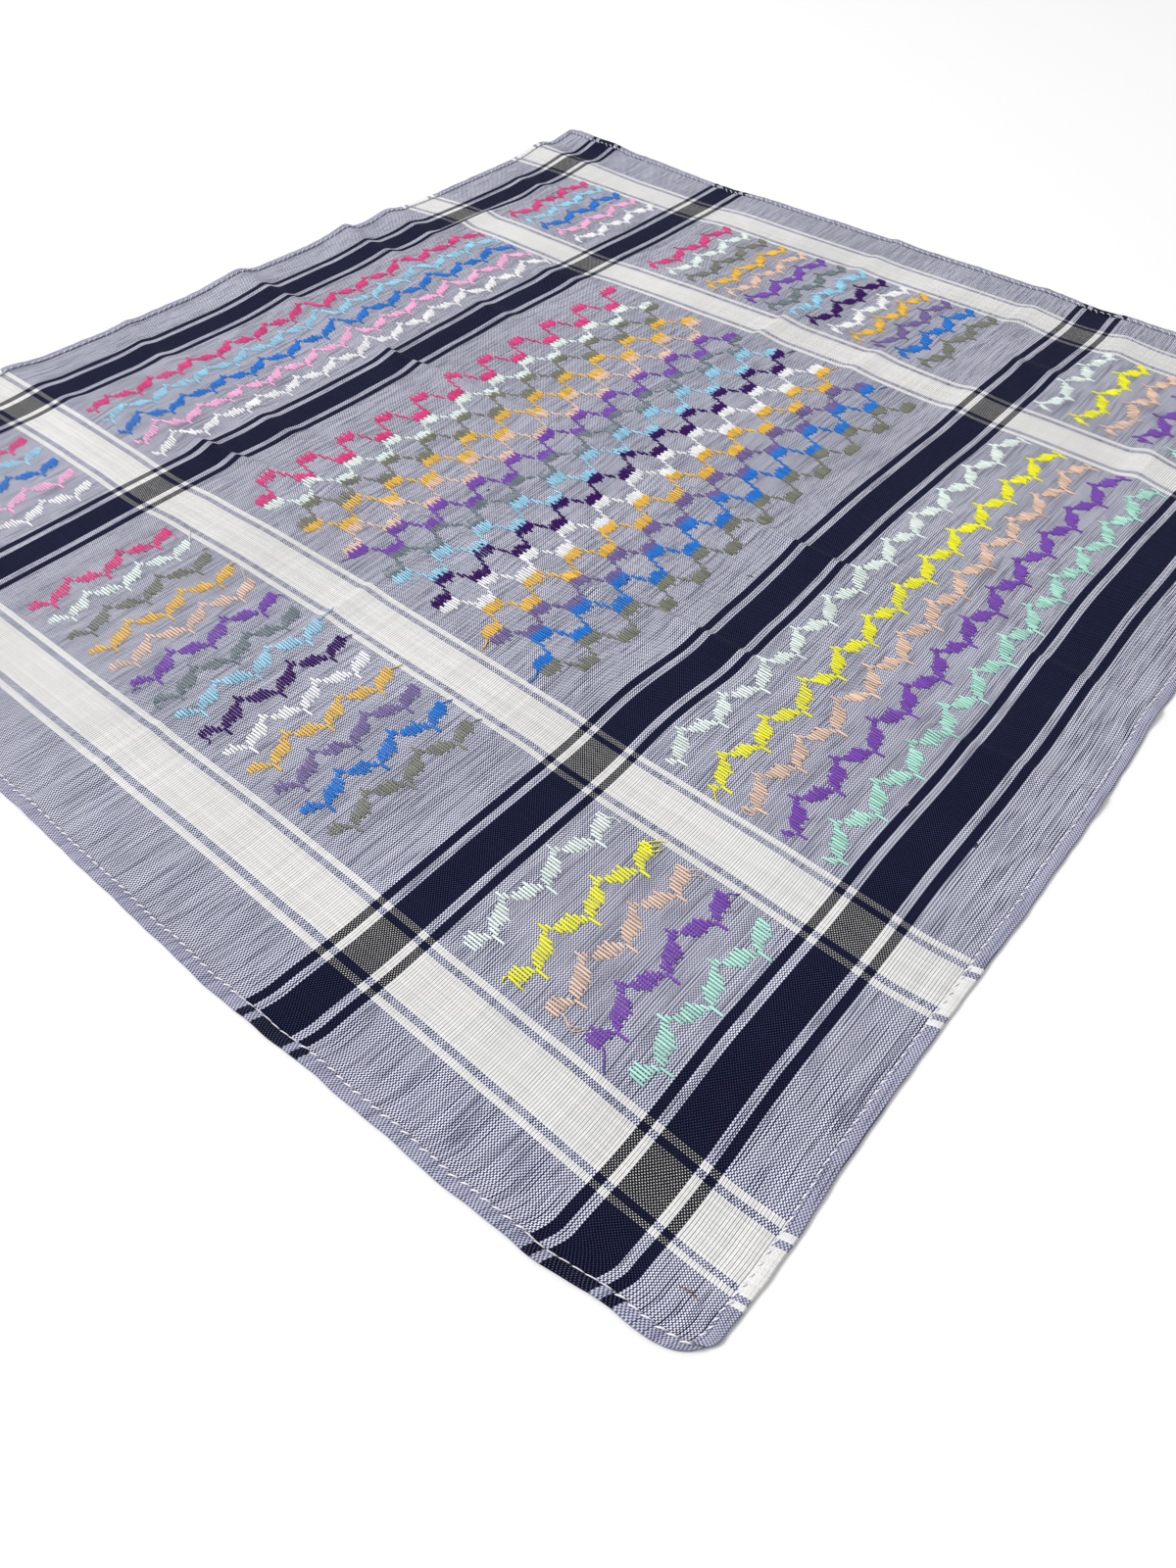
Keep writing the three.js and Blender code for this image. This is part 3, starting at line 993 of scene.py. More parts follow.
@dataclass
class MeshPart:
    """Arrays of one piece before it is a mesh.

    Each point has its place in metres, its UV place and its crown: 1 on top of a thread and 0 at its side.
    The materials paint shade by the crown.
    """

    points: Array
    faces: list[NDArray[np.int64]]
    uv: Array
    crown: Array
    material_of_face: list[NDArray[np.int64]] = field(default_factory=list)

    @staticmethod
    def joined(parts: list[MeshPart]) -> MeshPart:
        """All parts in one, each part's faces in the material of its place in the list."""
        starts = np.cumsum([0] + [len(part.points) for part in parts])
        return MeshPart(
            points=np.concatenate([part.points for part in parts]),
            faces=[faces + start for part, start in zip(parts, starts) for faces in part.faces],
            uv=np.concatenate([part.uv for part in parts]),
            crown=np.concatenate([part.crown for part in parts]),
            material_of_face=[
                np.full(len(faces), place) for place, part in enumerate(parts) for faces in part.faces
            ],
        )

    def build(self, name: str, layer: str, materials: list[bpy.types.Material]) -> bpy.types.Object:
        """Makes the object, which stands at the origin with its place in its mesh.

        Args:
            name: The object's name.
            layer: The name of its UV map.
            materials: Its materials, in the order that the faces number them.

        Returns:
            The object, smooth shaded.
        """
        mesh = bpy.data.meshes.new(name)
        polygons = [face for faces in self.faces for face in faces.tolist()]
        mesh.from_pydata(self.points.tolist(), [], polygons)
        corners = np.concatenate([faces.ravel() for faces in self.faces])
        mesh.uv_layers.new(name=layer).data.foreach_set("uv", self.uv[corners].ravel())
        mesh.attributes.new("crown", "FLOAT", "POINT").data.foreach_set("value", self.crown)
        for material in materials:
            mesh.materials.append(material)
        if self.material_of_face:
            mesh.polygons.foreach_set("material_index", np.concatenate(self.material_of_face))
        mesh.shade_smooth()
        mesh.update()
        LOG.info("%s: %d faces", name, len(polygons))
        return added(name, mesh)


def ring_faces(rings: int, around: int) -> NDArray[np.int64]:
    """Four-sided faces between rings of points, each ring closed on itself.

    Args:
        rings: How many rings.
        around: Points in each ring.

    Returns:
        One row of four point numbers for each face, ring by ring.
    """
    ring, step = np.meshgrid(np.arange(rings - 1), np.arange(around), indexing="ij")
    following = (step + 1) % around
    corners = [ring * around + following, ring * around + step]
    corners += [corner + around for corner in reversed(corners)]
    return np.stack(corners, axis=-1).reshape(-1, 4)


def swept(paths: Array, sections: Array) -> MeshPart:
    """Threads: a section carried along each of many short paths, its ends closed.

    Args:
        paths: Points of each path, as paths by stations by three, in metres.
        sections: Sizes of the section at each station, as stations by points by two: sideways and up,
            counted round so that the side comes before the top.

    Returns:
        The mesh: at each station the side is the path's direction crossed with up, and the section's
        points are laid out on those two. The UV map holds metres round and along each thread.
    """
    threads, stations, _ = paths.shape
    around = sections.shape[-2]
    direction = np.gradient(paths, axis=1)
    direction /= np.linalg.norm(direction, axis=-1, keepdims=True)
    side = np.cross(direction, UPRIGHT)
    side /= np.linalg.norm(side, axis=-1, keepdims=True)
    up = np.cross(side, direction)
    shape = np.broadcast_to(sections, (threads, stations, around, 2))
    points = (
        paths[:, :, None] + side[:, :, None] * shape[..., :1] + up[:, :, None] * shape[..., 1:]
    ).reshape(-1, 3)
    first = np.arange(threads)[:, None, None] * stations * around
    sides = (ring_faces(stations, around) + first).reshape(-1, 4)
    ring = np.arange(around)
    start_caps = first[:, :, 0] + ring
    end_caps = first[:, :, 0] + (stations - 1) * around + ring[::-1]
    steps = np.linalg.norm(np.diff(paths, axis=1), axis=-1)
    along = np.concatenate([np.zeros((threads, 1)), np.cumsum(steps, axis=1)], axis=1)
    along = np.broadcast_to(along[:, :, None], (threads, stations, around))
    girth = np.linalg.norm(np.diff(shape, axis=2, append=shape[:, :, :1]), axis=-1)
    round_it = np.cumsum(girth, axis=2) - girth
    lot = np.arange(threads)[:, None, None] * UV_SHIFT
    uv = np.stack([round_it + lot, along + lot * UV_SHIFT_ALONG], axis=-1).reshape(-1, 2)
    crown = (shape[..., 1] / shape[..., 1].max()).ravel()
    return MeshPart(points, [sides, start_caps, end_caps], uv, crown)


def round_section(radius: float, around: int) -> Array:
    """A round section's points, counted from one side over the top."""
    turn = np.arange(around) / around * 2 * math.pi
    return np.stack([np.cos(turn), np.sin(turn)], axis=-1) * radius


def smooth_path(knots: Array, stations: int) -> Array:
    """A smooth curve through a few knots.

    Args:
        knots: The knots, as knots by columns.
        stations: How many points to give.

    Returns:
        Points on a cubic from each knot to the next one. Its slope at a knot is half the step between
        the knot's two neighbours.
    """
    ends = np.concatenate([2 * knots[:1] - knots[1:2], knots, 2 * knots[-1:] - knots[-2:-1]])
    # The last place is just short of the last knot, so that a knot follows it too.
    place = np.linspace(0, len(knots) - 1.0001, stations)
    start = place.astype(int)
    t = (place - start)[:, None]
    p0, p1, p2, p3 = (ends[start + k] for k in range(4))
    return 0.5 * (
        2 * p1 + (p2 - p0) * t + (2 * p0 - 5 * p1 + 4 * p2 - p3) * t**2 + (3 * (p1 - p2) + p3 - p0) * t**3
    )


@dataclass
class ClothPanel:
    """The woven square: a thin closed shell on the laid map, its edge tucked into the hems."""

    cloth: LaidCloth
    wall: float = PANEL_WALL
    tucked: float = 0.85
    columns: int = 235
    rows: int = 204
    creases: tuple[str, ...] = ("left_slant", "middle", "right_crease")
    crease_reach: float = 3.5
    crease_focus: float = 3.0
    fine_steps: int = 1600

    def build(self) -> bpy.types.Object:
        """Makes the panel.

        Returns:
            A grid of flat points laid twice, as the underside and the top a wall higher, with a rim
            round them. The flat points are its UV map, in metres.
        """
        cut = self.cloth.cut
        across = MAIN_FOLDS["middle_across"].crest(np.array([0.0]))
        y = self.spread(cut.near + self.tucked, cut.far - self.tucked, self.rows, across[:, None])[0]
        crests = np.stack([MAIN_FOLDS[name].crest(y) for name in self.creases], axis=-1)
        flat_x = self.spread(cut.left + self.tucked, cut.right - self.tucked, self.columns, crests)
        flat_y = np.broadcast_to(y[:, None], flat_x.shape)
        layers = [self.cloth.place(flat_x, flat_y, raised).reshape(-1, 3) for raised in (0.0, self.wall)]
        flat = np.stack([flat_x, flat_y], axis=-1).reshape(-1, 2) * MM
        points = np.concatenate(layers)
        part = MeshPart(points, self.faces(), np.concatenate([flat, flat]), np.ones(len(points)))
        panel = part.build("cloth_panel_shell", "flat", [WovenCotton().dress()])
        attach(panel, "root")
        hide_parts("cloth_panel")
        return panel

    def spread(self, low: float, high: float, count: int, crests: Array) -> Array:
        """Grid places from one side to the other, closer together at the creases.

        Args:
            low: The first place.
            high: The last place.
            count: How many places.
            crests: The places of the creases, one row for each line of the grid.

        Returns:
            Even steps of a running total in which a millimetre near a crease counts several times over.
        """
        fine = np.linspace(low, high, self.fine_steps)
        near = np.exp(-(((fine - crests[..., None]) / self.crease_reach) ** 2)).sum(axis=1)
        total = np.cumsum(1 + self.crease_focus * near, axis=-1)
        share = (total - total[:, :1]) / (total[:, -1:] - total[:, :1])
        even = np.linspace(0, 1, count)
        return np.stack([np.interp(even, line, fine) for line in share])

    def faces(self) -> list[NDArray[np.int64]]:
        """The shell's faces: top, underside turned over, and the rim between their borders."""
        number = np.arange(self.rows * self.columns).reshape(self.rows, self.columns)
        corners = [number[:-1, :-1], number[:-1, 1:], number[1:, 1:], number[1:, :-1]]
        under = np.stack(corners[::-1], axis=-1).reshape(-1, 4)
        top = np.stack(corners, axis=-1).reshape(-1, 4) + number.size
        border = np.concatenate([number[0], number[1:, -1], number[-1, -2::-1], number[-2:0:-1, 0]])
        following = np.roll(border, -1)
        rim = np.stack([border, following, following + number.size, border + number.size], axis=-1)
        return [under, top, rim]


class Edge(Enum):
    """The cloth's four edges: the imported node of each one's hem, and whether it runs up Y."""

    NEAR_LEFT = ("hem_near_left", True)
    FAR_RIGHT = ("hem_far_right", True)
    NEAR_RIGHT = ("hem_near_right", False)
    FAR_LEFT = ("hem_far_left", False)

    @property
    def node(self) -> str:
        """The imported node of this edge's hem."""
        return self.value[0]

    @property
    def runs_up_y(self) -> bool:
        """Whether the edge runs up Y."""
        return self.value[1]

    def flat(self, inward: Array, along: Array, cut: Cut) -> tuple[Array, Array]:
        """Flat X and Y of points at a distance in from this edge and a place along it."""
        outer, towards = {
            Edge.NEAR_LEFT: (cut.left, 1),
            Edge.FAR_RIGHT: (cut.right, -1),
            Edge.NEAR_RIGHT: (cut.near, 1),
            Edge.FAR_LEFT: (cut.far, -1),
        }[self]
        across = outer + towards * inward
        return (across, along) if self.runs_up_y else (along, across)


@dataclass
class Hem:
    """One edge of the cloth folded over onto the face and sewn down."""

    cloth: LaidCloth
    edge: Edge
    width: float = 4.0
    thick: float = 1.2
    top: tuple[tuple[float, float], ...] = ((1.4, 0.05), (2.3, 0.06), (3.2, 0.0), (3.75, -0.08), (4.0, -0.3))
    fold_points: int = 7
    panel_wall: float = PANEL_WALL
    clearance: float = 0.1
    floor_strip: float = 0.25
    station_gap: float = 1.25
    end_gap: float = 0.5
    pulled_at: float = 3.1
    pulled_reach: float = 0.7
    pulled_depth: float = 0.24
    pulled_pitch: float = STITCH_PITCH
    puff: float = 0.10
    puff_scales: tuple[float, float] = (4.3, 1.9)
    puff_shift: float = 1.0
    upper_share: float = 0.6
    pattern_shift: float = 1.7
    pattern_slant: float = 0.25

    def ends(self) -> tuple[float, float]:
        """Where the hem starts and ends along its edge."""
        cut = self.cloth.cut
        if self.edge.runs_up_y:
            return cut.near, cut.far
        inset = self.width + self.end_gap
        return cut.left + inset, cut.right - inset

    def section(self) -> Array:
        """The fold's section, as distance in from the edge and height.

        Returns:
            A closed loop: a half round fold at the edge from the floor to the top, the top layer with a
            soft crown, its blunt inner end, and back under it over the panel.
        """
        radius = self.thick / 2
        turn = np.linspace(-0.5 * math.pi, -1.5 * math.pi, self.fold_points)
        fold_round = np.stack([radius + radius * np.cos(turn), radius + radius * np.sin(turn)], axis=-1)
        top = [(inward, self.thick + rise) for inward, rise in self.top]
        floor_in = radius + self.floor_strip
        under = self.panel_wall + self.clearance
        return np.array([*fold_round, *top, (self.width, under), (floor_in, under), (floor_in, 0.0)])

    def top_height(self, inward: Array, along: Array, height: Array) -> Array:
        """The section's height with the seam's puckers pressed into its upper side."""
        depth = self.pulled_depth * np.exp(-(((inward - self.pulled_at) / self.pulled_reach) ** 2))
        beat = 0.5 + 0.5 * np.cos(2 * math.pi * along / self.pulled_pitch)
        slow, quick = self.puff_scales
        puff = self.puff * np.sin(along / slow) * np.sin(along / quick + self.puff_shift)
        upper = height > self.thick * self.upper_share
        return height + np.where(upper, puff - depth * beat, 0.0)

    def build(self, material: bpy.types.Material) -> bpy.types.Object:
        """Makes the hem.

        Args:
            material: The turned cloth's material.

        Returns:
            The section carried along the edge on the laid map, with both ends closed. Its UV map goes on
            past the cut's edge, so the stripes cross it shifted and slanted as on a fold sewn by hand.
        """
        start, end = self.ends()
        stations = int((end - start) / self.station_gap)
        along = np.linspace(start, end, stations)[:, None]
        section = self.section()
        inward = np.broadcast_to(section[:, 0], (stations, len(section)))
        along = np.broadcast_to(along, inward.shape)
        height = self.top_height(inward, along, np.broadcast_to(section[:, 1], inward.shape))
        x, y = self.edge.flat(inward, along, self.cloth.cut)
        points = self.cloth.place(x, y, height).reshape(-1, 3)
        on_top = height > self.thick / 2
        turned_over = np.where(on_top, -inward, inward)
        slid = along + np.where(on_top, self.pattern_shift + self.pattern_slant * inward, 0)
        flat_x, flat_y = self.edge.flat(turned_over, slid, self.cloth.cut)
        uv = np.stack([flat_x, flat_y], axis=-1).reshape(-1, 2) * MM
        faces = ring_faces(stations, len(section))
        ring = np.arange(len(section))
        caps = [ring, ring[::-1] + (stations - 1) * len(section)]
        if self.edge in (Edge.NEAR_LEFT, Edge.FAR_LEFT):
            faces = faces[:, ::-1]
            caps = [cap[::-1] for cap in caps]
        # The crown, 0 on the floor and 1 on top, sets the turned cloth's painted shade on the rolled edge.
        crown = np.clip(height / self.thick, 0, 1).ravel()
        part = MeshPart(points, [faces, *(cap[None] for cap in caps)], uv, crown)
        hem = part.build(self.edge.node + "_shell", "flat", [material])
        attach(hem, "root")
        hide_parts(self.edge.node)
        return hem


@dataclass
class Seam:
    """The sewing of one hem: many short slanted stitches of pale thread, straight over the navy bands."""

    hem: Hem
    straight_at: tuple[float, ...] = ()
    straight_reach: float = 12.5
    straight_calm: float = 0.15
    straight_slimness: float = 0.65
    margins: tuple[float, float] = (3.0, 4.0)
    pitch: float = STITCH_PITCH
    straight_share: float = 0.98
    slanted_share: float = 0.70
    unevenness: float = 0.12
    middle: float = 3.7
    swing: float = 0.45
    looseness: float = 0.18
    arch: tuple[float, ...] = (-0.25, 0.12, 0.2, 0.12, -0.25)
    slimness: tuple[float, ...] = (0.7, 1.0, 1.0, 1.0, 0.7)
    off_hem: tuple[float, float] = (0.35, 0.7)
    radius: float = 0.2
    around: int = 6
    seed: int = 21

    def build(self, material: bpy.types.Material) -> bpy.types.Object:
        """Makes the stitches as one joined mesh.

        Args:
            material: The sewing thread's material.

        Returns:
            Each stitch is a thin round thread that leaves the cloth, lies on it and dives in again. The
            stitches all slant the same way across the seam's middle line, with a gap after each, and
            over the navy bands they run straight from one to the next.
        """
        start, end = self.hem.ends()
        rng = np.random.default_rng(self.seed)
        first = np.arange(start + self.margins[0], end - self.margins[1], self.pitch)
        first = first + rng.normal(0, self.unevenness, len(first))
        straight = np.zeros(len(first), dtype=bool)
        for place in self.straight_at:
            straight |= abs(first - place) < self.straight_reach
        calm = np.where(straight, self.straight_calm, 1.0)
        slant = calm * self.swing
        length = self.pitch * np.where(straight, self.straight_share, self.slanted_share)
        inward_from = self.middle + slant + calm * rng.normal(0, self.looseness, len(first))
        inward_to = self.middle - slant + calm * rng.normal(0, self.looseness, len(first))
        part = np.linspace(0, 1, len(self.arch))
        inward = inward_from[:, None] + (inward_to - inward_from)[:, None] * part
        along = first[:, None] + length[:, None] * part
        past, slope = self.off_hem
        on_hem = ease(np.clip((self.hem.width + past - inward) / slope, 0, 1))
        resting = self.hem.panel_wall + (self.hem.thick - self.hem.panel_wall) * on_hem
        x, y = self.hem.edge.flat(inward, along, self.hem.cloth.cut)
        paths = self.hem.cloth.place(x, y, resting + np.array(self.arch))
        slim = np.array(self.slimness) * np.where(straight, self.straight_slimness, 1.0)[:, None]
        sections = round_section(self.radius * MM, self.around) * slim[..., None, None]
        name = self.hem.edge.node.replace("hem", "seam") + "_stitches"
        seam = swept(paths, sections).build(name, "thread", [material])
        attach(seam, "root")
        return seam


@dataclass(frozen=True)
class FloatShape:
    """A brocade float: a doubled thread lying on the cloth between two picks."""

    spacing: float = 1.134
    half_width: float = 0.385
    height: float = 0.46
    pick: float = 0.463
    sink: float = 0.30

    def section(self) -> Array:
        """The doubled thread's section: two crowns with a dip between them, closed below."""
        shares = [(1, 0), (0.65, 1), (0, 0.8), (-0.65, 1), (-1, 0), (0, -0.4)]
        return np.array(shares) * (self.half_width * MM, self.height * MM)


@dataclass
class FloatRow:
    """Floats of one colour: each one's place along X, its two ends along Y, and how ragged the ends are."""

    thread: Thread
    x: Array
    low: Array
    high: Array
    thick: Array
    ragged: float


# One wave from valley to valley in twenty floats: the first and last pick of each, from the row's centre.
WAVE_CHART: tuple[tuple[int, int], ...] = (
    (-14, -4), (-8, 0), (-6, 4), (-5, 5), (-5, 6), (-5, 6), (-5, 8), (-4, 8), (0, 10), (5, 10),
    (8, 17), (6, 11), (2, 8), (-2, 7), (-4, 7), (-5, 7), (-5, 7), (-5, 7), (-5, 4), (-7, -1),
)

# One knot of the net, float by float: how many picks it reaches out from its flat side to its domed one,
# and how many picks its flat side is notched.
KNOT_REACH: tuple[int, ...] = (9, 11, 11, 12, 13, 12, 11, 9)
KNOT_NOTCH: tuple[int, ...] = (1, -1, 1, 0, 1, -1, 1, 0)

# How far the knots lie from an even spacing, by their place along X.
NET_PULL: Array = np.array([
    (-118, -0.7),
    (-95, -2.9),
    (-70, -4.0),
    (-48, -4.4),
    (0, -4.0),
    (42, -4.4),
    (65, -3.7),
    (88, -2.8),
    (120, -1.5),
])


class WaveRow(NamedTuple):
    """A row of waves: its thread and its height up the cloth."""

    thread: Thread
    y: float


class NetRow(NamedTuple):
    """A row of the net: its thread, and the heights of its first and second knots in each cell."""

    thread: Thread
    first: float
    second: float


class Block(NamedTuple):
    """A column of waves: its first and last float along X, and the place of one valley."""

    start: float
    end: float
    valley: float


LEFT_BLOCK = Block(-217.9, -156.6, -211.6)
CENTRE_BLOCK = Block(-125.4, 128.5, -100.0)
RIGHT_BLOCK = Block(158.1, 223.1, 172.3)

FAR_WAVES = (
    WaveRow(Thread.CRIMSON, 193.5),
    WaveRow(Thread.LIGHT_BLUE, 181.0),
    WaveRow(Thread.BLUE, 167.5),
    WaveRow(Thread.PINK, 154.1),
    WaveRow(Thread.WHITE, 140.7),
)
MIDDLE_WAVES = (
    WaveRow(Thread.CRIMSON, 87.3),
    WaveRow(Thread.MINT, 74.8),
    WaveRow(Thread.OLIVE, 62.3),
    WaveRow(Thread.MUSTARD, 49.0),
    WaveRow(Thread.PEACH, 36.4),
    WaveRow(Thread.PURPLE, 23.8),
    WaveRow(Thread.SLATE, 10.9),
    WaveRow(Thread.LIGHT_BLUE, -1.8),
    WaveRow(Thread.DARK_PURPLE, -14.1),
    WaveRow(Thread.WHITE, -27.3),
    WaveRow(Thread.MUSTARD, -39.3),
    WaveRow(Thread.VIOLET, -52.2),
    WaveRow(Thread.BLUE, -65.5),
    WaveRow(Thread.OLIVE, -78.2),
)
NEAR_WAVES = (
    WaveRow(Thread.MINT, -138.9),
    WaveRow(Thread.YELLOW, -156.1),
    WaveRow(Thread.PEACH, -170.3),
    WaveRow(Thread.PURPLE, -184.9),
    WaveRow(Thread.AQUA, -200.2),
)
NET_ROWS = (
    NetRow(Thread.CRIMSON, 76.2, 88.0),
    NetRow(Thread.MINT, 70.6, 63.5),
    NetRow(Thread.OLIVE, 51.1, 60.5),
    NetRow(Thread.MUSTARD, 46.8, 37.4),
    NetRow(Thread.PEACH, 23.7, 33.8),
    NetRow(Thread.PURPLE, 20.6, 11.2),
    NetRow(Thread.SLATE, 0.4, 8.6),
    NetRow(Thread.LIGHT_BLUE, -4.6, -13.6),
    NetRow(Thread.DARK_PURPLE, -25.4, -16.5),
    NetRow(Thread.WHITE, -29.7, -38.4),
    NetRow(Thread.MUSTARD, -51.4, -42.4),
    NetRow(Thread.VIOLET, -56.1, -63.6),
    NetRow(Thread.BLUE, -76.7, -66.6),
    NetRow(Thread.OLIVE, -80.7, -89.4),
)


@dataclass
class Brocade:
    """The coloured threads: rows of waves in three strips and a net of joined knots in the middle."""

    cloth: LaidCloth
    wall: float = PANEL_WALL
    shape: FloatShape = FloatShape()
    wave: float = 22.68
    net_start: float = -117.5
    net_cells: int = 11
    link_floats: int = 2
    link_overlap: float = 0.35
    link_thickness: float = 0.95
    wave_ragged: float = 0.75
    tip_share: float = 0.45
    tip_floats: float = 5.0
    tip_ends: tuple[float, float] = (0.7, 0.3)
    net_ragged: float = 0.8
    stations: tuple[float, ...] = (0.0, 0.10, 0.90, 1.0)
    slimness: tuple[float, ...] = (0.78, 1.0, 1.0, 0.78)
    end_play: float = 0.3
    lean_play: float = 0.10
    height_play: tuple[float, float] = (0.86, 1.12)
    width_play: tuple[float, float] = (0.90, 1.06)
    shade_play: tuple[float, float] = (0.62, 1.05)
    seed: int = 5

    def wave_row(self, row: WaveRow, block: Block, tipped: bool = False) -> FloatRow:
        """The floats of one row of waves in one block.

        Args:
            row: Its thread and height.
            block: Where it starts and ends.
            tipped: Whether its first floats are shorter, so that the row starts in a point.

        Returns:
            A float at each spacing, its two ends read from the wave's chart by its place in the wave.
        """
        spacing = self.wave / len(WAVE_CHART)
        x = np.arange(block.start, block.end, spacing)
        step = np.round((x - block.valley) / spacing).astype(int) % len(WAVE_CHART)
        picks = np.array(WAVE_CHART)[step]
        low, high = (row.y + picks[:, end] * self.shape.pick for end in (0, 1))
        if tipped:
            lost = self.tip_share * np.clip(1 - np.arange(len(x)) / self.tip_floats, 0, 1) * (high - low)
            low, high = low + lost * self.tip_ends[0], high - lost * self.tip_ends[1]
        return FloatRow(row.thread, x, low, high, np.ones(len(x)), self.wave_ragged)

    def net_row(self, row: NetRow) -> FloatRow:
        """The floats of one row of the net.

        Args:
            row: Its thread and the heights of its two knots.

        Returns:
            Knots that are flat on the side that faces the next row and domed on the other, joined by
            short stepped floats that climb or drop from one knot to the next.
        """
        spacing = self.shape.spacing
        reach = np.array(KNOT_REACH) * self.shape.pick
        notch = np.array(KNOT_NOTCH) * self.shape.pick
        link_spacing = (self.wave / 2 - spacing * len(reach)) / self.link_floats
        steps = np.arange(self.link_floats) + 0.5
        x, low, high, thick = [], [], [], []
        for knot in range(2 * self.net_cells):
            centre, other = (row.first, row.second) if knot % 2 == 0 else (row.second, row.first)
            outward = 1 if centre < other else -1
            place = self.net_start + knot * self.wave / 2
            start = place + eased_rows(NET_PULL, np.array(place))[0] - spacing * (len(reach) - 1) / 2
            flat_side = centre - outward * reach.mean() / 2
            ends = flat_side + outward * notch, flat_side + outward * reach
            x.append(start + spacing * np.arange(len(reach)))
            low.append(np.minimum(*ends))
            high.append(np.maximum(*ends))
            thick.append(np.ones(len(reach)))
            if knot + 1 < 2 * self.net_cells:
                gap = other - centre + outward * (reach.mean() - 2 * reach[-1])
                centres = flat_side + outward * reach[-1] + gap * steps / self.link_floats
                half = abs(gap) / self.link_floats / 2 + self.link_overlap
                x.append(start + spacing * (len(reach) - 0.5) + link_spacing * steps)
                low.append(centres - half)
                high.append(centres + half)
                thick.append(np.full(self.link_floats, self.link_thickness))
        floats = (np.concatenate(values) for values in (x, low, high, thick))
        return FloatRow(row.thread, *floats, self.net_ragged)

    def floats(self, row: FloatRow, rng: np.random.Generator) -> MeshPart:
        """One row's floats as a mesh.

        Args:
            row: The floats.
            rng: The draws for their small differences.

        Returns:
            Each float is a doubled thread over four stations: it comes up out of the cloth, lies on it
            and dives in again, a little uneven in length, height and direction.
        """
        count = len(row.x)
        stagger = row.ragged * (np.arange(count) % 2 - 0.5)
        low = row.low + stagger + rng.normal(0, self.end_play, count) * row.ragged
        high = row.high + stagger + rng.normal(0, self.end_play, count) * row.ragged
        lean = rng.normal(0, self.lean_play, count)
        part = np.array(self.stations)
        y = low[:, None] + (high - low)[:, None] * part
        x = row.x[:, None] + lean[:, None] * (part - 0.5) * 2
        high_at = rng.uniform(*self.height_play, (count, 1)) * self.shape.height
        raised = self.wall + np.array([-self.shape.sink, 0.0, 0.0, -self.shape.sink]) * high_at
        paths = self.cloth.place(x, y, raised)
        slim = np.array(self.slimness)[:, None, None]
        fat = rng.uniform(*self.width_play, count) * row.thick * row.thread.value.fullness
        threads = swept(paths, self.shape.section() * slim * fat[:, None, None, None])
        threads.crown *= np.repeat(rng.uniform(*self.shade_play, count), len(threads.crown) // count)
        return threads

    def piece(self, name: str, rows: list[FloatRow], finishes: Finishes) -> bpy.types.Object:
        """Joins rows into one piece.

        Args:
            name: The piece's name.
            rows: Its rows.
            finishes: A material for each thread.

        Returns:
            The piece, with one material for each row.
        """
        rng = np.random.default_rng(self.seed)
        part = MeshPart.joined([self.floats(row, rng) for row in rows])
        made = part.build(name, "thread", [finishes[row.thread] for row in rows])
        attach(made, "root")
        return made

    def build(self, finishes: Finishes) -> list[bpy.types.Object]:
        """Makes the three strips of waves and the net."""
        blocks = (LEFT_BLOCK, CENTRE_BLOCK, RIGHT_BLOCK)
        far = [self.wave_row(row, block) for row in FAR_WAVES for block in blocks]
        near = [self.wave_row(row, block) for row in NEAR_WAVES for block in blocks]
        sides = [
            self.wave_row(row, block, tipped=block is LEFT_BLOCK)
            for row in MIDDLE_WAVES
            for block in (LEFT_BLOCK, RIGHT_BLOCK)
        ]
        net = [self.net_row(row) for row in NET_ROWS]
        return [
            self.piece("waves_far", far, finishes),
            self.piece("waves_near", near, finishes),
            self.piece("waves_sides", sides, finishes),
            self.piece("net_middle", net, finishes),
        ]


class LooseEnd(NamedTuple):
    """A strand that lies loose on the cloth: its thread, its thickness and the places that it passes."""

    thread: Thread
    radius: float
    places: tuple[tuple[float, float], ...]


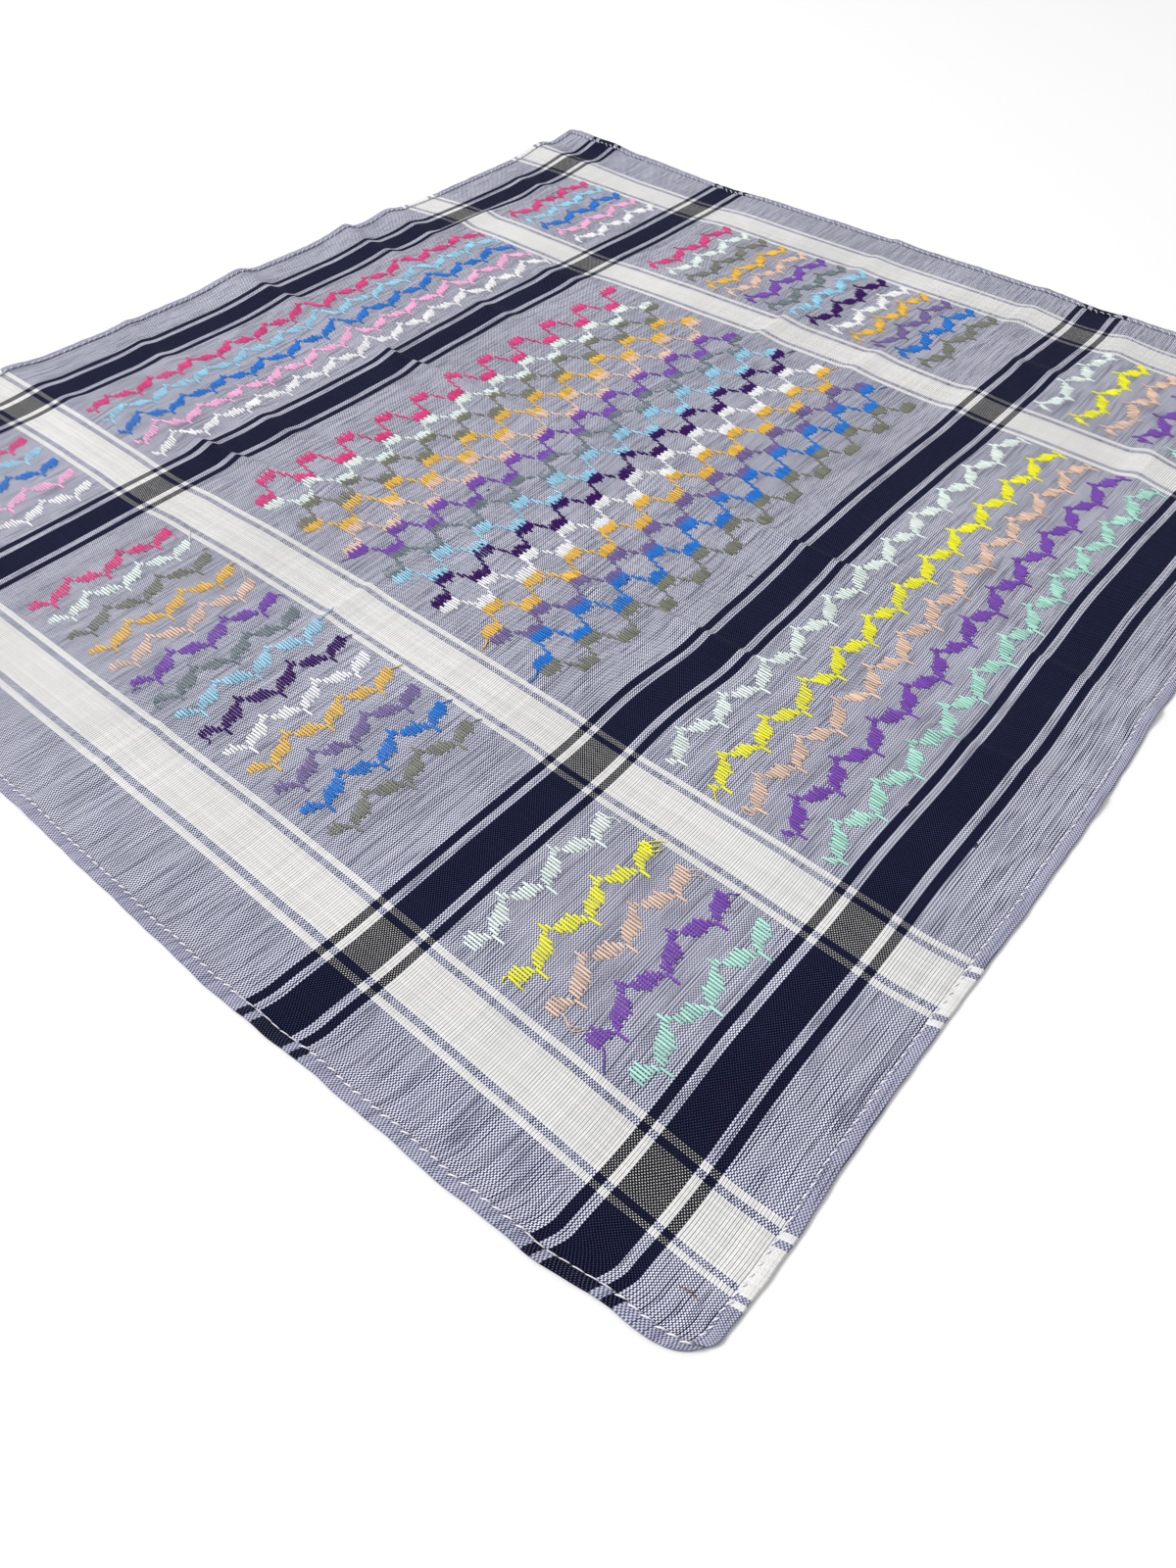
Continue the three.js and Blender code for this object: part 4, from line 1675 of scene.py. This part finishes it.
# Where each brocade thread starts or stops, its last end shows beside the row.
TAILS = (
    LooseEnd(Thread.CRIMSON, 0.18, ((-158.6, 89.0), (-156.9, 86.6), (-157.3, 83.8), (-157.6, 81.2))),
    LooseEnd(Thread.MINT, 0.13, ((-157.6, 74.6), (-155.2, 77.1), (-152.8, 80.2), (-150.3, 83.0))),
    LooseEnd(Thread.OLIVE, 0.18, ((-157.0, 68.0), (-154.8, 67.3), (-155.0, 65.0))),
    LooseEnd(Thread.MUSTARD, 0.2, ((-158.0, 51.0), (-155.4, 51.8), (-153.0, 51.4))),
    LooseEnd(Thread.PEACH, 0.13, ((-158.4, 39.4), (-156.6, 42.6), (-154.5, 46.5))),
    LooseEnd(Thread.PURPLE, 0.14, ((-158.0, 25.6), (-154.9, 22.9), (-154.9, 17.6))),
    LooseEnd(Thread.LIGHT_BLUE, 0.16, ((-157.6, -0.4), (-154.4, 0.6), (-150.6, 1.0), (-147.0, 2.1))),
    LooseEnd(Thread.DARK_PURPLE, 0.22, ((-157.6, -12.6), (-154.8, -13.6), (-152.5, -13.4))),
    LooseEnd(Thread.MUSTARD, 0.2, ((-157.0, -37.0), (-154.0, -38.6), (-151.4, -38.9))),
    LooseEnd(Thread.BLUE, 0.22, ((-157.0, -62.8), (-154.5, -64.3), (-152.5, -64.6))),
    LooseEnd(Thread.OLIVE, 0.2, ((-157.0, -77.0), (-154.0, -78.2), (-152.5, -78.8))),
    LooseEnd(Thread.MINT, 0.15, ((-158.4, -137.0), (-156.4, -138.8), (-155.4, -141.2), (-156.0, -143.9))),
    LooseEnd(Thread.YELLOW, 0.2, ((-158.4, -152.6), (-155.6, -154.6), (-153.4, -156.6), (-152.3, -158.2))),
    LooseEnd(Thread.YELLOW, 0.2, ((-158.6, -154.4), (-156.4, -156.6), (-154.2, -158.0))),
    LooseEnd(Thread.YELLOW, 0.2, ((-158.8, -156.2), (-157.2, -158.4), (-155.0, -159.2))),
    LooseEnd(Thread.PEACH, 0.13, ((-158.6, -168.6), (-156.0, -170.4), (-154.6, -172.2), (-154.3, -174.4))),
    LooseEnd(Thread.PEACH, 0.13, ((-158.6, -170.6), (-156.8, -172.6), (-155.6, -174.8), (-156.2, -176.8))),
    LooseEnd(Thread.PURPLE, 0.2, ((-158.4, -182.6), (-155.4, -184.6), (-154.4, -186.2), (-152.8, -187.0))),
    LooseEnd(Thread.BROWN, 0.08, ((-161.2, -187.4), (-159.0, -189.6), (-157.0, -189.8), (-156.0, -188.7))),
    LooseEnd(Thread.PURPLE, 0.2, ((-217.0, 21.2), (-219.0, 21.6), (-220.6, 21.4))),
    LooseEnd(Thread.SLATE, 0.18, ((-216.4, 9.4), (-218.2, 12.0), (-219.4, 9.4), (-218.2, 6.6))),
    LooseEnd(Thread.DARK_PURPLE, 0.24, ((-216.8, -12.8), (-218.6, -14.2), (-217.4, -16.8), (-219.0, -19.2))),
    LooseEnd(Thread.YELLOW, 0.26, ((-217.9, -153.4), (-219.2, -153.2), (-220.4, -153.6))),
    LooseEnd(Thread.YELLOW, 0.22, ((-217.4, -154.2), (-218.3, -157.4), (-218.2, -160.4))),
    LooseEnd(
        Thread.PEACH,
        0.15,
        ((-216.8, -171.4), (-217.0, -174.6), (-218.9, -177.4), (-217.6, -179.6), (-214.8, -181.0)),
    ),
    LooseEnd(Thread.PEACH, 0.12, ((-216.2, -172.4), (-217.9, -175.6), (-217.4, -178.2), (-215.4, -179.4))),
    LooseEnd(Thread.PURPLE, 0.2, ((-216.2, -186.6), (-218.2, -189.0), (-220.4, -190.6), (-222.4, -192.4))),
    LooseEnd(Thread.YELLOW, 0.2, ((-125.4, -157.4), (-127.8, -159.4), (-129.4, -161.2))),
    LooseEnd(Thread.PEACH, 0.16, ((-125.2, -168.0), (-127.4, -171.0), (-126.2, -173.4), (-123.6, -172.0))),
    LooseEnd(Thread.PEACH, 0.16, ((-124.0, -168.4), (-125.6, -171.4), (-124.2, -172.6), (-122.4, -171.4))),
    LooseEnd(Thread.PURPLE, 0.2, ((-125.6, -184.0), (-127.2, -185.8), (-128.4, -187.0))),
    LooseEnd(Thread.MUSTARD, 0.24, ((-122.4, -53.2), (-125.4, -55.0), (-128.4, -55.4))),
    LooseEnd(Thread.BLUE, 0.3, ((-122.4, -77.6), (-125.6, -79.6), (-129.4, -79.8))),
    LooseEnd(Thread.PURPLE, 0.22, ((-122.4, 19.6), (-125.4, 20.4), (-127.6, 20.8))),
    LooseEnd(Thread.MUSTARD, 0.22, ((123.4, -44.6), (126.0, -45.6), (128.2, -45.8))),
    LooseEnd(Thread.BLUE, 0.22, ((123.4, -70.6), (126.0, -72.4), (128.4, -72.8))),
    LooseEnd(Thread.DARK_PURPLE, 0.22, ((123.4, -19.4), (126.0, -20.8), (128.2, -21.2))),
)

# Stray bits of coloured thread woven into the plain cloth.
FLECKS = (
    LooseEnd(Thread.BROWN, 0.13, ((-254.5, -238.9), (-254.0, -241.6), (-254.4, -244.4))),
    LooseEnd(Thread.BROWN, 0.10, ((-254.9, -241.0), (-253.6, -242.2), (-252.4, -242.8))),
    LooseEnd(Thread.INK, 0.30, ((-91.6, -231.6), (-90.8, -231.3), (-90.0, -231.7))),
    LooseEnd(Thread.PEACH, 0.16, ((-91.2, -207.8), (-90.6, -208.1), (-90.0, -208.0))),
    LooseEnd(Thread.INK, 0.22, ((-55.6, 12.2), (-55.0, 12.4), (-54.4, 12.1))),
    LooseEnd(Thread.BROWN, 0.15, ((-26.4, -50.4), (-25.0, -49.0), (-23.6, -48.2))),
    LooseEnd(Thread.VIOLET, 0.24, ((-66.4, -71.0), (-64.0, -68.0), (-61.0, -64.4))),
    LooseEnd(Thread.VIOLET, 0.20, ((-86.8, -64.8), (-85.4, -62.8), (-84.6, -66.0), (-83.2, -63.8))),
    LooseEnd(Thread.DARK_PURPLE, 0.12, ((-30.6, -102.6), (-29.8, -104.0), (-29.4, -105.6))),
)


@dataclass
class LooseThreads:
    """The brocade threads' tails and the stray flecks, each a thin strand lying on the cloth."""

    cloth: LaidCloth
    resting: float = 0.5
    arch: float = 0.35
    tuck: float = 0.25
    end_taper: float = 0.4
    end_sharpness: int = 6
    stations: int = 9
    around: int = 6

    def strand(self, end: LooseEnd) -> MeshPart:
        """One strand.

        Args:
            end: Its thread, thickness and places.

        Returns:
            A round section along a smooth curve through the places, lying on the cloth and arched a
            little in the middle, its ends tucked in.
        """
        flat = smooth_path(np.array(end.places), self.stations)
        part = np.linspace(0, 1, self.stations)
        at_ends = np.abs(2 * part - 1) ** self.end_sharpness
        raised = self.resting + end.radius / 2 + self.arch * np.sin(math.pi * part) - self.tuck * at_ends
        path = self.cloth.place(flat[:, 0], flat[:, 1], raised)
        slim = (1 - self.end_taper * at_ends)[:, None, None]
        return swept(path[None], round_section(end.radius * MM, self.around) * slim)

    def build(self, finishes: Finishes) -> bpy.types.Object:
        """Makes all strands as one piece."""
        ends = [*TAILS, *FLECKS]
        part = MeshPart.joined([self.strand(end) for end in ends])
        made = part.build("loose_threads", "thread", [finishes[end.thread] for end in ends])
        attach(made, "root")
        return made


@dataclass(frozen=True)
class PhotoCamera:
    """The camera where the photograph was taken: its place, where it looks, and its lens."""

    place: Place = (-0.32945, -0.27418, 0.26391)
    looks_at: Place = (-0.15177, -0.12427, 0.0)
    roll: float = 0.114
    lens: float = 25.30
    clip: tuple[float, float] = (0.01, 20.0)

    def build(self) -> None:
        """Makes the scene's camera."""
        data = bpy.data.cameras.new("photo_camera")
        data.lens = self.lens
        data.clip_start, data.clip_end = self.clip
        camera = added("photo_camera", data)
        roll = Matrix.Rotation(math.radians(self.roll), 4, "Z")
        camera.matrix_world = aimed(self.place, self.looks_at) @ roll
        bpy.context.scene.camera = camera


@dataclass(frozen=True)
class Studio:
    """A pale floor under soft light from the upper left and a bright plain sky, shown in plain colours."""

    floor_size: float = 6.0
    floor_corners: tuple[tuple[int, int], ...] = ((-1, -1), (1, -1), (1, 1), (-1, 1))
    floor_colour: Colour = linear(253, 253, 253)
    sky_strength: float = 0.605
    key_power: float = 67.0
    key_place: Place = (-1.30, 1.55, 2.46)
    key_looks_at: Place = (0.0, 0.0, 0.0)
    key_size: float = 1.2

    def build(self) -> None:
        """Makes the floor, the lamp and the sky."""
        corners = [(x * self.floor_size / 2, y * self.floor_size / 2, 0) for x, y in self.floor_corners]
        mesh = bpy.data.meshes.new("floor")
        mesh.from_pydata(corners, [], [(0, 1, 2, 3)])
        sketch = Sketch("pale_floor")
        sketch.paint(self.floor_colour)
        sketch.surface(roughness=0.9, sheen=0.0, gloss=0.1)
        mesh.materials.append(sketch.material)
        floor = added("floor", mesh)

        lamp = bpy.data.lights.new("key_light", "AREA")
        lamp.energy = self.key_power
        lamp.size = self.key_size
        added("key_light", lamp).matrix_world = aimed(self.key_place, self.key_looks_at)

        world = bpy.data.worlds.new("plain_sky")
        world.use_nodes = True
        back = world.node_tree.nodes["Background"]
        back.inputs["Color"].default_value = (1.0, 1.0, 1.0, 1.0)
        back.inputs["Strength"].default_value = self.sky_strength
        bpy.context.scene.world = world
        bpy.context.scene.view_settings.view_transform = "Standard"


def main() -> None:
    logging.basicConfig(level=logging.INFO, format="%(name)s %(message)s")
    PhotoCamera().build()
    Studio().build()
    cloth = LaidCloth()
    panel = ClothPanel(cloth).build()
    turned = TurnedCotton().dress()
    hems = [Hem(cloth, edge) for edge in Edge]
    hem_pieces = [hem.build(turned) for hem in hems]
    finishes = {thread: thread.value.dress() for thread in Thread}
    seams = [Seam(hem, NAVY_BANDS, radius=0.25) if hem.edge is Edge.NEAR_LEFT else Seam(hem) for hem in hems]
    seam_pieces = [seam.build(finishes[Thread.SEWING]) for seam in seams]
    threads = [*Brocade(cloth).build(finishes), LooseThreads(cloth).build(finishes)]


if __name__ == "__main__":
    main()
